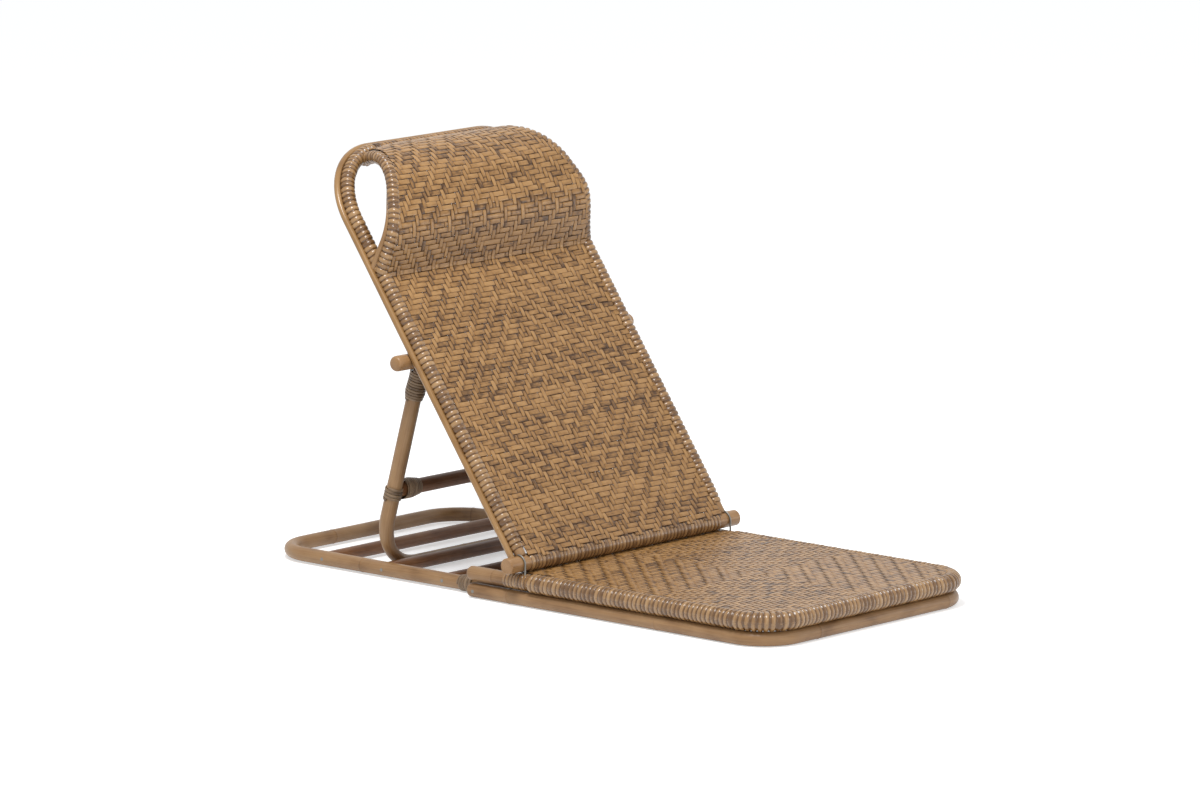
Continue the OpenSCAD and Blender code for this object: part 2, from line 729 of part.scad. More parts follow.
rear_loop();
front_loop();
seat_frame();
rest_bar(0);  // rest_bar_front
rest_bar(1);  // rest_bar_middle
rest_bar(2);  // rest_bar_rear
seat_rear_bar();
seat_weave();
seat_edge_wrap();
mirror([1, 0, 0]) rail_lashing();  // rail_lashing_left
rail_lashing();  // rail_lashing_right
frame_nails();
mirror([1, 0, 0]) hinge_wire();  // hinge_wire_left
hinge_wire();  // hinge_wire_right
hinge_bar();
back_frame();
back_edge_wrap();
edge_strip();
back_weave();
prop_bar();
crease_bar();
mirror([1, 0, 0]) head_bow();  // head_bow_left
head_bow();  // head_bow_right
mirror([1, 0, 0]) head_wrap();  // head_wrap_left
head_wrap();  // head_wrap_right
head_weave();
prop_frame();
prop_stretcher();
mirror([1, 0, 0]) stretcher_lashing();  // stretcher_lashing_left
stretcher_lashing();  // stretcher_lashing_right
mirror([1, 0, 0]) stretcher_collar();  // stretcher_collar_left
stretcher_collar();  // stretcher_collar_right
mirror([1, 0, 0]) prop_strap();  // prop_strap_left
prop_strap();  // prop_strap_right
mirror([1, 0, 0]) prop_lashing();  // prop_lashing_left
prop_lashing();  // prop_lashing_right
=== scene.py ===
# %% [markdown]
# # A folding cane lounger, dressed strand by strand
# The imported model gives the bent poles, bars, nails and wires at their true places. What it only
# stands in for is the cane worker's own part of the job: three woven mats, the peel bound round
# the edge poles, and the lashings. This lesson weaves and winds those from formulas, and gives
# each pole a skin whose grain runs along the bend.

# %% Load the frame and keep its box
import bpy
import numpy as np
from mathutils import Matrix, Vector


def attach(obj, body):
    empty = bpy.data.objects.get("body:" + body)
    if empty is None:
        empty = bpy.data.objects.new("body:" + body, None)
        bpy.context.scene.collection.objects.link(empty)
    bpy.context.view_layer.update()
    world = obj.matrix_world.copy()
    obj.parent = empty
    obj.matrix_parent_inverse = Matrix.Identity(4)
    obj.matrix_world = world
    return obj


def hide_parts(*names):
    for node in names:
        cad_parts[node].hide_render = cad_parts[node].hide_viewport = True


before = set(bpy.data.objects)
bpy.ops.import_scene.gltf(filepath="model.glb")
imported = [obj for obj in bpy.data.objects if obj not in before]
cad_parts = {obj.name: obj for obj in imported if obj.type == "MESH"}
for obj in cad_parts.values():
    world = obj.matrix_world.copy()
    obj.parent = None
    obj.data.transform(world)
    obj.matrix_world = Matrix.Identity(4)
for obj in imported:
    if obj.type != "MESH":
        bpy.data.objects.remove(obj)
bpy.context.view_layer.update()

# %% [markdown]
# ## The maker's sizes
# The sizes of the part's source, in millimetres. A few are the skin's own, as the photo shows
# them: the corners of the back's pole and of its outer cane, and the prop's thickness. Everything
# is worked out in millimetres and turned into metres once, when a mesh is made. Three frames
# carry the pieces: the floor frame, the leaning back (u up the back, v forward) and the prop.

# %% Sizes of the frame
MM = 0.001
hinge_y, hinge_z = -21.75, 62.4
pole_r, bar_r = 11.0, 12.0
rear_half, rear_reach, rear_corner, rear_lap, rear_z = 203.5, 527.5, 66.0, 120.0, 12.7
seat_half, front_reach, front_corner, rail_tail = 225.6, 481.0, 60.0, 100.0
front_z, seat_z = 11.0, 36.1
seat_bar_set, seat_bar_z, mat_top = 37.0, 38.9, 49.7
back_half, back_length, back_corner, back_set = 222.9, 687.4, 107.0, 5.3
back_r, pole_foot, wrap_foot = 8.5, 8.0, 19.0
strip_r, strip_out, strip_behind, strip_drop, strip_corner = 4.95, 13.09, 6.24, 1.5, 115.0
back_mat_v, mat_t = 10.1, 3.6
back_angle = np.radians(54.6)
prop_hinge_y, prop_hinge_z, prop_len = 196.827, 339.513, 343.051
prop_angle = np.radians(51.5503 + 54.6 - 180.0)
prop_r, prop_half, prop_corner, stretcher_rise, stretcher_r = 11.7, 200.9, 86.0, 128.5, 11.4
neck_end, neck_slope, neck_r = 56.0, 6.0, 7.5
crease_at, heel_slope, heel_out, heel_r = 479.5, np.radians(50.0), -9.5, 85.0
crown, crown_r = np.array([604.0, -1.0]), 80.0
bow_half, bow_yaw, bow_lean, bow_wrap_r = 230.5, np.radians(24.0), np.radians(8.0), 9.5
weft_pitch, warp_pitch = 8.3, 7.7


def ease(t):
    """Smooth step from 0 to 1: 3 t^2 - 2 t^3, with t held between 0 and 1."""
    t = np.clip(t, 0, 1)
    return t * t * (3 - 2 * t)


def spread(*values):
    """Numbers or grids as the coordinates of points: each fills the same grid, side by side."""
    return np.stack(np.broadcast_arrays(*values), -1)


def heading(angle):
    """The unit direction at an angle: (cos, sin)."""
    return spread(np.cos(angle), np.sin(angle))


def turned(points, angle, y, z):
    """Turns points (a, b, c) by angle about X and puts their zero at (y, z): the new Y is
    y + b cos - c sin and the new Z is z + b sin + c cos."""
    a, b, c = points[..., 0], points[..., 1], points[..., 2]
    cos, sin = heading(angle)
    return spread(a, y + b * cos - c * sin, z + b * sin + c * cos)


def on_base(points):
    """Floor frame: y counts from the hinge line, z from the floor."""
    return turned(points, 0.0, hinge_y, 0.0)


def on_back(points):
    """The back's frame: x across, u up the back, v forward."""
    return turned(points, back_angle, hinge_y, hinge_z)


def on_prop(points):
    """The prop's frame: y runs down the legs from the hanging bar to the foot."""
    return turned(points, prop_angle, prop_hinge_y, prop_hinge_z)


print("frames ready; the back leans at", round(float(np.degrees(back_angle)), 1), "degrees")

# %% [markdown]
# ## Camera first
# The photograph was solved as a view with a long lens from the foot end's left. The camera stands
# twelve metres off, and looks past the hinge line so that the lounger lands where it does in
# the picture.

# %% Camera
def in_scene(name, data):
    """A new object that holds the data, linked into the scene."""
    made = bpy.data.objects.new(name, data)
    bpy.context.scene.collection.objects.link(made)
    return made


view_az, view_el = np.radians(48.285), np.radians(11.367)
flat_way = np.array([-np.sin(view_az), -np.cos(view_az), 0.0])
upright = np.array([0.0, 0.0, 1.0])
view_back = np.cos(view_el) * flat_way + np.sin(view_el) * upright
view_up = np.cos(view_el) * upright - np.sin(view_el) * flat_way
view_right = np.array([np.cos(view_az), -np.sin(view_az), 0.0])
view_distance, view_focal, film = 11910.0, 7983.6, 36.0
picture_w, picture_h, aim_x, aim_y = 1200.0, 800.0, 622.42, 582.78
eye = np.array([0.0, hinge_y, 0.0]) + view_distance * view_back
aside = (picture_w / 2 - aim_x) * view_right + (aim_y - picture_h / 2) * view_up
look = -view_back + aside / view_focal
look /= np.linalg.norm(look)
side = np.cross(look, view_up)
side /= np.linalg.norm(side)
camera_data = bpy.data.cameras.new("photo_camera")
camera_data.sensor_width = film
camera_data.lens = film * view_focal / picture_w
camera_data.clip_end = 100.0
camera = in_scene("photo_camera", camera_data)
camera.matrix_world = Matrix.Translation(Vector(eye * MM)) @ Matrix(
    np.column_stack([side, np.cross(side, look), -look]).tolist()).to_4x4()
bpy.context.scene.camera = camera
print("camera at", [round(float(v) * MM, 2) for v in eye], "lens", round(camera_data.lens, 1), "mm")

# %% [markdown]
# ## One way to make every mesh
# Each piece is a stack of tubes worked out with numpy: strands, sleeves or poles. Every
# tube's ring of points is closed, and both its ends are capped. Two things travel with every
# point: **grain**, its place in the straightened strand (across, across, along), so that fibres
# follow every bend, and **tone**, so that neighbouring strands differ as real peel does. In the
# mats and sleeves the tone also carries painted shade, darker at strand edges, dips and seams.

# %% Mesh helper
def ring_faces(count, rows, ring):
    """Quads of count tubes, each rows long and ring round: a quad's corners are row r or r + 1
    and ring point m or m + 1, and the last ring point joins the first."""
    r, m = np.meshgrid(np.arange(rows - 1), np.arange(ring), indexing="ij")
    n = (m + 1) % ring
    here, there = r * ring, (r + 1) * ring
    one = spread(here + m, there + m, there + n, here + n).reshape(-1, 4)
    return (np.arange(count)[:, None, None] * rows * ring + one).reshape(-1, 4)


def cap_faces(count, rows, ring):
    """One many-sided face on each end of each tube, wound so that both look outwards."""
    first = np.arange(count)[:, None] * rows * ring
    start = first + np.arange(ring)
    return np.concatenate([start, (first + (rows - 1) * ring + np.arange(ring))[:, ::-1]])


def tubes(co, grain, tone, count=1, inside_out=False):
    """Count capped tubes from a grid of points, rows along them and their ring last. Inside_out
    turns the faces round, for a grid whose ring runs the other way."""
    rows, ring = co.shape[-3:-1]
    faces = [ring_faces(count, rows, ring), cap_faces(count, rows, ring)]
    if inside_out:
        faces = [f[:, ::-1] for f in faces]
    return {"co": co, "grain": grain, "tone": tone, "faces": faces}


def make_piece(name, parts, finish, body, replaced=()):
    """Joins parts, each made by tubes, into one mesh object in metres."""
    base = np.cumsum([0] + [p["co"].size // 3 for p in parts])
    co, grain = (np.concatenate([p[key].reshape(-1, 3) for p in parts]) * MM for key in ("co", "grain"))
    tone = np.concatenate([p["tone"].ravel() for p in parts])
    groups = [f + base[i] for i, p in enumerate(parts) for f in p["faces"]]
    sizes = np.concatenate([np.full(len(g), g.shape[1]) for g in groups])
    mesh = bpy.data.meshes.new(name)
    mesh.vertices.add(len(co))
    mesh.vertices.foreach_set("co", co.ravel().astype(np.float32))
    mesh.loops.add(int(sizes.sum()))
    corners = np.concatenate([g.ravel() for g in groups]).astype(np.int32)
    mesh.loops.foreach_set("vertex_index", corners)
    mesh.polygons.add(len(sizes))
    starts = np.concatenate([[0], np.cumsum(sizes)[:-1]]).astype(np.int32)
    mesh.polygons.foreach_set("loop_start", starts)
    mesh.polygons.foreach_set("use_smooth", np.full(len(sizes), True))
    for label, kind, key, values in (("grain", "FLOAT_VECTOR", "vector", grain),
                                     ("tone", "FLOAT", "value", tone)):
        data = mesh.attributes.new(label, kind, "POINT").data
        data.foreach_set(key, values.ravel().astype(np.float32))
    mesh.update()
    mesh.validate()
    mesh.materials.append(finish)
    piece = in_scene(name, mesh)
    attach(piece, body)
    if replaced:
        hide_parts(*replaced)
    print(name, len(co), "points,", int((sizes - 2).sum()), "triangles")


print("a ring of 8 points carried through 3 rows has", len(ring_faces(1, 3, 8)), "quads")

# %% [markdown]
# ## Cane finishes
# Cane is a grass-like climber: its outer peel is smooth, hard and glossy, and its fibres run the
# whole length of the strand. A finish here is a few layers of noise stretched along the grain:
# fine fibres, slow blotches where the peel has been browned, and each strand's own tone. Gloss
# comes from the shader and the lamps only.

# %% Finish helper
RAMP = (0.36, 0.47, 0.64)


def set_inputs(inputs, values):
    """Gives each named input of a node its value."""
    for name, value in values.items():
        inputs[name].default_value = value


def new_finish(name):
    """A new material, its nodes, its links and its shader's sockets."""
    mat = bpy.data.materials.new(name)
    mat.use_nodes = True
    nodes = mat.node_tree.nodes
    return mat, nodes, mat.node_tree.links, nodes["Principled BSDF"].inputs


def cane_finish(name, dark, mid, light, fibre=900.0, blotch=45.0, rough=0.42, coat=0.25, bump=0.25,
                straight=False, shares=(0.30, 0.55, 0.16)):
    """Cane from three layers. The place on the ramp is 0.5 plus a share of each layer's distance
    from its own middle: fibres, blotches and the strand's tone. Roughness and bump follow the
    fibres. A straight piece has its fibres along X and no tone."""
    mat, nodes, links, shader = new_finish(name)
    set_inputs(shader, {"Coat Weight": coat, "Coat Roughness": 0.22, "Specular IOR Level": 0.3})

    def attribute(label, output):
        made = nodes.new("ShaderNodeAttribute")
        made.attribute_name = label
        return made.outputs[output]

    def noise(across, length, detail, roughness):
        """Noise on the grain, scaled across and along the strand."""
        mapping = nodes.new("ShaderNodeMapping")
        scale = (length, across, across) if straight else (across, across, length)
        mapping.inputs["Scale"].default_value = scale
        links.new(place, mapping.inputs["Vector"])
        made = nodes.new("ShaderNodeTexNoise")
        set_inputs(made.inputs, {"Scale": 1.0, "Detail": detail, "Roughness": roughness})
        links.new(mapping.outputs["Vector"], made.inputs["Vector"])
        return made.outputs["Fac"]

    def math(kind, a, b):
        """A sum or product of two sockets, or of a socket and a number."""
        made = nodes.new("ShaderNodeMath")
        made.operation = kind
        links.new(a, made.inputs[0])
        if isinstance(b, float):
            made.inputs[1].default_value = b
        else:
            links.new(b, made.inputs[1])
        return made.outputs[0]

    place = nodes.new("ShaderNodeTexCoord").outputs["Object"] if straight else attribute("grain", "Vector")
    fibres = noise(fibre, fibre / 40, 3.0, 0.55)
    blotches = noise(blotch * 2.0, blotch, 2.5, 0.6)
    mix = math("ADD", math("MULTIPLY", fibres, shares[0]), math("MULTIPLY", blotches, shares[1]))
    if not straight:
        mix = math("ADD", mix, math("MULTIPLY", attribute("tone", "Fac"), shares[2]))
    mix = math("ADD", mix, 0.5 - 0.5 * sum(shares[:2] if straight else shares))
    ramp = nodes.new("ShaderNodeValToRGB")
    steps = ramp.color_ramp.elements
    steps.new(RAMP[1])
    for step, at, colour in zip(steps, RAMP, (dark, mid, light)):
        step.position, step.color = at, (*colour, 1.0)
    links.new(mix, ramp.inputs["Fac"])
    links.new(ramp.outputs["Color"], shader["Base Color"])
    gloss = math("ADD", math("MULTIPLY", fibres, 0.24), rough - 0.12)
    links.new(gloss, shader["Roughness"])
    raised = nodes.new("ShaderNodeBump")
    set_inputs(raised.inputs, {"Strength": bump, "Distance": 0.0006})
    links.new(fibres, raised.inputs["Height"])
    links.new(raised.outputs["Normal"], shader["Normal"])
    return mat


def steel_finish(name, colour, rough):
    """Drawn wire: grey metal whose roughness changes a little from place to place."""
    mat, nodes, links, shader = new_finish(name)
    set_inputs(shader, {"Metallic": 1.0, "Base Color": (*colour, 1.0)})
    place = nodes.new("ShaderNodeTexCoord")
    spots = nodes.new("ShaderNodeTexNoise")
    level = nodes.new("ShaderNodeMapRange")
    set_inputs(spots.inputs, {"Scale": 400.0})
    set_inputs(level.inputs, {"To Min": rough - 0.08, "To Max": rough + 0.12})
    links.new(place.outputs["Object"], spots.inputs["Vector"])
    links.new(spots.outputs["Fac"], level.inputs["Value"])
    links.new(level.outputs["Result"], shader["Roughness"])
    return mat


print("the ramp's dark, middle and light places:", RAMP)

# %% [markdown]
# ## The finishes themselves
# The same helper gives every cane on the lounger: yellow-brown peel in the mats, glossier peel
# round the poles, duller poles, bars browned as by the heat of bending, and grey-brown
# lashings. Two finishes are painted shade: a darker copy of the poles' colours for the rest bars
# and the prop's stretcher, and a near-black one for the thin cane in the back's corner gap. Each
# has a dark, a middle and a light colour, set by comparing renders with the picture.

# %% Finishes
peel = cane_finish("woven_peel", (0.062, 0.025, 0.005), (0.252, 0.126, 0.037), (0.368, 0.201, 0.073),
                   rough=0.36, coat=0.26)
bound_peel = cane_finish("bound_peel", (0.130, 0.062, 0.021), (0.270, 0.147, 0.056), (0.375, 0.222, 0.098),
                         rough=0.27, coat=0.55, shares=(0.25, 0.45, 0.19))
pole_look = {"fibre": 700.0, "blotch": 14.0, "rough": 0.42, "coat": 0.1, "bump": 0.3}
bar_look = {**pole_look, "rough": 0.36, "coat": 0.15, "bump": 0.2}
pole_tones = (0.165, 0.084, 0.032), (0.262, 0.144, 0.062), (0.350, 0.208, 0.098)
# Painted shade: the pole colours made darker, for the rest bars and the stretcher, which sit in shade.
painted_shade_tones = (0.095, 0.037, 0.013), (0.170, 0.071, 0.027), (0.250, 0.118, 0.050)
bar_tones = (0.175, 0.084, 0.028), (0.284, 0.150, 0.060), (0.375, 0.218, 0.100)
bare_pole = cane_finish("bare_pole", *pole_tones, **pole_look)
plain_pole = cane_finish("plain_pole", *pole_tones, **pole_look, straight=True)
plain_pole_painted_shade = cane_finish("plain_pole_painted_shade", *painted_shade_tones, **pole_look, straight=True)
bar_painted_shade = cane_finish("bar_painted_shade", *painted_shade_tones, **pole_look)
skin_bar_bent = cane_finish("skin_bar_bent", *bar_tones, **bar_look)
skin_bar = cane_finish("skin_bar", *bar_tones, **bar_look, straight=True)
split_cane = cane_finish("split_cane", (0.160, 0.074, 0.022), (0.262, 0.138, 0.046), (0.350, 0.200, 0.080),
                         fibre=700.0, blotch=14.0, rough=0.30, coat=0.35, bump=0.15)
# Near-black and matte: painted shade for the thin cane that fills the back's corner gap.
shade_cane_skin = cane_finish("shade_cane_skin", (0.030, 0.014, 0.007), (0.055, 0.026, 0.012),
                           (0.090, 0.045, 0.022), fibre=700.0, blotch=14.0, rough=0.6, coat=0.0, bump=0.15)
lashing_peel = cane_finish("lashing_peel", (0.085, 0.050, 0.025), (0.175, 0.110, 0.060),
                           (0.265, 0.180, 0.108), coat=0.1)
wire_steel = steel_finish("wire_steel", (0.21, 0.20, 0.18), 0.40)
print("finishes:", len(bpy.data.materials))

# %% [markdown]
# ## Lines that bend
# A pole is a line of straights and arcs. The line below is worked out from its corner points and
# its bend radius, then read at even steps of its own length, so strands and fibres can be spaced
# by real distance.

# %% Bent line
def measured(points, headings):
    """A line: its points, its directions, and how far along it each point is."""
    steps = np.linalg.norm(np.diff(points, axis=0), axis=1)
    return points, headings, np.concatenate([[0], np.cumsum(steps)])


def bent_line(corners, radius, step):
    """Rounds the corners of a flat broken line: each corner loses r tan(turn / 2) of both its
    straights and gains an arc. Points lie about a step apart."""
    corners = np.asarray(corners, float)
    pieces, headings = [], []
    start = corners[0]
    for i in range(1, len(corners) - 1):
        into = corners[i] - corners[i - 1]
        out = corners[i + 1] - corners[i]
        into, out = into / np.linalg.norm(into), out / np.linalg.norm(out)
        turn = np.arccos(np.clip(into @ out, -1, 1))
        cut = radius * np.tan(turn / 2)
        begin = corners[i] - cut * into
        inward = out - (out @ into) * into
        inward /= np.linalg.norm(inward)
        count = max(2, int(np.ceil(np.linalg.norm(begin - start) / step)))
        t = np.linspace(0, 1, count, endpoint=False)[:, None]
        pieces.append(start + t * (begin - start))
        headings.append(np.repeat(into[None], count, 0))
        count = max(6, int(np.ceil(radius * turn / step)))
        a = np.linspace(0, turn, count, endpoint=False)[:, None]
        pieces.append(begin + radius * (np.sin(a) * into + (1 - np.cos(a)) * inward))
        headings.append(np.cos(a) * into + np.sin(a) * inward)
        start = corners[i] + cut * out
    last = corners[-1] - start
    t = np.linspace(0, 1, max(2, int(np.ceil(np.linalg.norm(last) / step))) + 1)[:, None]
    pieces.append(start + t * last)
    headings.append(np.repeat(last[None] / np.linalg.norm(last), len(t), 0))
    return measured(np.concatenate(pieces), np.concatenate(headings))


def read_line(line, at):
    """Points and directions of a line at given lengths along it."""
    points, headings, length = line
    p, h = (np.stack([np.interp(at, length, table[:, k]) for k in range(3)], -1)
            for table in (points, headings))
    return p, h / np.linalg.norm(h, axis=-1, keepdims=True)


def u_line(half, depth, corner, far=0.0, level=0.0):
    """A U with its bend across y = far and its two legs ending at y = far + depth."""
    return bent_line([[-half, far + depth, level], [-half, far, level], [half, far, level],
                      [half, far + depth, level]], corner, 2.0)


def cross_line(half, at=0.0, level=0.0):
    """A straight line across, from -half to +half."""
    return bent_line([[-half, at, level], [half, at, level]], 1.0, 4.0)


rear_line = u_line(rear_half, -(rear_reach + rear_lap), rear_corner, rear_reach, rear_z)
front_line = u_line(seat_half, front_reach + rail_tail, front_corner, -front_reach, front_z)
seat_line = u_line(seat_half, front_reach + rail_tail, front_corner, -front_reach, seat_z)
back_line = u_line(back_half, -(back_length - pole_foot), back_corner, back_length, back_set)
strip_top = back_length + strip_out - strip_drop
strip_line = u_line(back_half + strip_out, -(strip_top - pole_foot), strip_corner, strip_top,
                    back_set - strip_behind)
print("pole lengths, mm:", [round(float(p[2][-1])) for p in (rear_line, front_line, back_line)])

# %% [markdown]
# ## Poles with their nodes
# A cane pole isn't a perfect tube: it swells by a fraction of a millimetre at its nodes, where a
# fine ring shows, and its thickness wanders slowly. Its skin is a circle carried along the bent
# line.

# %% Pole surface
def round_section(p, h, r, a, normal):
    """Points at r from the line, at angles a from the side of its path towards the normal."""
    out = np.cross(h, normal)
    return p + r[..., None] * (np.cos(a)[None, :, None] * out + np.sin(a)[None, :, None] * normal)


def pole_part(line, radius, place, seed, ring=28, node_every=290.0, ends=0.72):
    """Circle of radius r(s) round the line. r(s) = r + slow wander + a narrow bump at each node;
    the bump is exp(-(distance / 2.4)^2). Over the last 4 mm it tapers to the given share."""
    mine = np.random.default_rng(seed)
    total = line[2][-1]
    nodes = np.arange(mine.uniform(60, 200), total, node_every) + mine.uniform(-40, 40)
    near_nodes = nodes[:, None] + np.array([-4, -2.4, -1, 0, 1, 2.4, 4])
    near_ends = [total, 0.6, 1.8, total - 0.6, total - 1.8]
    at = np.unique(np.concatenate([np.arange(0, total, 3.0), near_ends, near_nodes.ravel()]))
    at = at[(at >= 0) & (at <= total)]
    wander = 0.096 * np.sin(at / 71.0 + seed) + 0.06 * np.sin(at / 29.0 + 2 * seed)
    bump = (0.42 * np.exp(-((at[:, None] - nodes) / 2.4) ** 2)).sum(1)
    r = radius + wander + bump - 0.15
    for edge in (at, total - at):
        r = r * (ends + (1 - ends) * np.sqrt(np.minimum(edge / 4.0, 1.0)))
    a = np.linspace(0, 2 * np.pi, ring, endpoint=False)
    p, h = read_line(line, at)
    co = round_section(p[:, None], h[:, None], r[:, None], a, upright)
    grain = spread(radius * np.cos(a), radius * np.sin(a), at[:, None] + 1000.0 * seed)
    ringed = (np.exp(-((at[:, None] - nodes) / 1.1) ** 2)).sum(1)
    return tubes(place(co), grain, np.repeat(0.55 - 0.45 * ringed, ring))


for name, line, seed, node in (("rear_pole", rear_line, 1, "rear_loop"),
                               ("front_pole", front_line, 2, "front_loop"),
                               ("seat_pole", seat_line, 3, "seat_frame")):
    make_piece(name, [pole_part(line, pole_r, on_base, seed)], bare_pole, "base", [node])

# %% [markdown]
# ## Weaving
# The mats are diamond twill: each weft goes over three warps and under two, and every row starts
# one warp further on, so the floats climb in diagonals. Counting warps and rows from the middle
# turns the diagonals into rings of diamonds. With i and j counted from the middle, the weft is
# on top where (|i| + |j|) mod 5 is below 3.
# A strand is a flat lens-shaped ribbon. Its height along its length is +1 or -1 at each crossing,
# eased from one to the next with a smooth step, and a long float arches a little. Its edges, its
# underside and its dips get a darker tone. This is painted shade, where shade falls between and under
# strands.

# %% Strands
LENS = np.array([[-0.5, 0.0], [-0.40, 0.36], [-0.16, 0.52], [0.16, 0.52], [0.40, 0.36], [0.5, 0.0],
                 [0.34, -0.40], [-0.34, -0.40]])
# Painted shade: tone for each section point, darker at a strand's edges and underside and a touch lighter on
# top; the dip tone darkens a strand further where it passes under another.
PAINTED_EDGE_SHADE = np.array([-1.7, -0.1, 0.1, 0.1, -0.1, -1.7, -1.7, -1.7])
PAINTED_DIP_SHADE = 0.75
weft_width, weft_thick, warp_width, warp_thick = 8.55, 1.2, 7.95, 1.05
steps_per_crossing = 3.6


def weft_on_top(i, j):
    """Diamond twill: over three, under two."""
    return np.mod(np.abs(i) + np.abs(j), 5) < 3


def strand_height(over, cell):
    """Height of a strand at place cell, counted in crossings: the crossings on either side are
    +1 or -1, eased by a smooth step over the middle six tenths of the way between them."""
    low = np.floor(cell).astype(int)
    t = ease((cell - low - 0.2) / 0.6)
    a, b = over(low), over(low + 1)
    flat = np.where((a > 0) & (b > 0), 0.18, 0.0) * np.sin(np.pi * np.clip(cell - low, 0, 1))
    return a * (1 - t) + b * t + flat


def ribbons(surface, line_at, ends, steps, level, width, thick, lift, across, seed):
    """Strands laid on a surface(a, b) -> point, normal. Each runs along one of the surface's two
    directions at place line_at, from ends[0] to ends[1], at heights level(run) times lift."""
    mine = np.random.default_rng(seed)
    count = len(line_at)
    run = ends[0][:, None] + np.linspace(0, 1, steps) * (ends[1] - ends[0])[:, None]
    drift = 0.22 * np.sin(run / 37.0 + mine.uniform(0, 6.3, (count, 1)))
    drift = drift + mine.uniform(-0.14, 0.14, (count, 1))
    high = level(run)
    height = lift * high + mine.uniform(-0.06, 0.06, (count, 1))
    size = width * (1 + mine.uniform(-0.05, 0.03, (count, 1, 1))) * LENS[:, 0]
    beside = (line_at[:, None] + drift)[..., None] + size
    up = height[..., None] + thick * LENS[:, 1]
    along = np.broadcast_to(run[..., None], beside.shape)
    point, normal = surface(along, beside) if across else surface(beside, along)
    start = mine.uniform(0, 4000, (count, 1, 1))
    grain = spread(size + start, up + 0.37 * start, along + start)
    # Each strand's random tone, plus painted shade: edges, underside and dips toned darker.
    tone = mine.uniform(0, 1, (count, 1, 1)) + PAINTED_EDGE_SHADE - PAINTED_DIP_SHADE * (1 - high[..., None])
    return tubes(point + up[..., None] * normal, grain, tone, count, inside_out=not across)


print("strand section has", len(LENS), "points")

# %% [markdown]
# ## A whole mat
# A mat is a lot of wefts and a lot of warps on one surface. The weaving could be simulated, but one
# rule says which strand is on top at a crossing, and both lots ask it, so they always agree.

# %% Mat
def weave(name, surface, place, rows, row_start, from_centre, warps, warp_ends, weft_ends, body, replaced,
          seeds, lift=0.70):
    """A mat's wefts and warps as two pieces. Row 0 lies at row_start, and from_centre counts a row
    from the middle of its diamond."""
    def placed(a, b):
        p, n = surface(a, b)
        q = place(p)
        return q, place(p + n) - q

    def weft_level(run):
        row = from_centre(rows[:, None])
        return strand_height(lambda k: np.where(weft_on_top(k, row), 1.0, -1.0), run / warp_pitch)

    def warp_level(run):
        warp = warps[:, None]
        return strand_height(lambda k: np.where(weft_on_top(warp, from_centre(k)), -1.0, 1.0),
                             (run - row_start) / weft_pitch)

    def steps(ends, pitch):
        return int(steps_per_crossing * np.max(ends[1] - ends[0]) / pitch) + 1

    wefts = ribbons(placed, row_start + weft_pitch * rows, weft_ends, steps(weft_ends, warp_pitch),
                    weft_level, weft_width, weft_thick, lift, True, seeds[0])
    strands = ribbons(placed, warps * warp_pitch, warp_ends, steps(warp_ends, weft_pitch),
                      warp_level, warp_width, warp_thick, lift, False, seeds[1])
    make_piece(name + "_wefts", [wefts], peel, body, replaced)
    make_piece(name + "_warps", [strands], peel, body, replaced)


print("a mat's diamonds repeat every", 5 * warp_pitch, "by", 5 * weft_pitch, "mm")

# %% [markdown]
# ## The seat mat
# The seat's corners are rounded to the edge pole's bend, so each strand has its own ends. The mat
# runs over the seat bar, where it rises a little, and on under the back's hinge bar.

# %% Seat mat
def seat_surface(a, b):
    """Flat, with b counted from the seat bar towards the feet, one millimetre higher over the bar
    as a bell curve, and sinking 0.4 mm under the hinge bar as a smooth step. A is turned round
    with b, so that the pair still makes a right-handed frame with the normal."""
    sink = 0.4 * ease((20.0 - seat_bar_set - b) / 13.0)
    level = mat_top - 2.0 + np.exp(-(b / 14.0) ** 2) - sink
    point = spread(-a, -seat_bar_set - b, level)
    return point, np.broadcast_to(upright, point.shape)


seat_inset = 6.0
seat_side, seat_front = 219.5, front_reach - seat_bar_set - seat_inset
seat_round = front_corner - seat_inset


def rounded_end(offset, straight, radius, reach):
    """How far a strand reaches when it lies offset from the middle of a side with rounded corners:
    reach - r + sqrt(r^2 - d^2), where d is how far the strand lies into the corner."""
    d = np.clip(np.abs(offset) - straight, 0, radius * 0.999)
    return reach - radius + np.sqrt(radius ** 2 - d ** 2)


seat_start, seat_rear, seat_middle = -39.5, -43.5, 32
seat_rows, seat_warps = np.arange(58), np.arange(-28, 29)
rear_ends = np.full(len(seat_warps), seat_rear)
side_ends = rounded_end(seat_start + weft_pitch * seat_rows, seat_front - seat_round, seat_round, seat_side)
front_ends = rounded_end(seat_warps * warp_pitch, seat_side - seat_round, seat_round, seat_front)
weave("seat_mat", seat_surface, on_base, seat_rows, seat_start, lambda j: j - seat_middle, seat_warps,
      (rear_ends, front_ends), (-side_ends, side_ends), "base", ["seat_weave"], (21, 22), lift=0.90)

# %% [markdown]
# ## The line of the back's mat
# One mat covers the back and the head roll. Its warps come up over the hinge bar, sink to their
# level between the side poles, and run up to the crease. There they bend forward, turn over the
# heel, climb a short slope and turn down over the crown to the top rail. Heel and crown are two
# circles, and the straights are the lines that touch them.

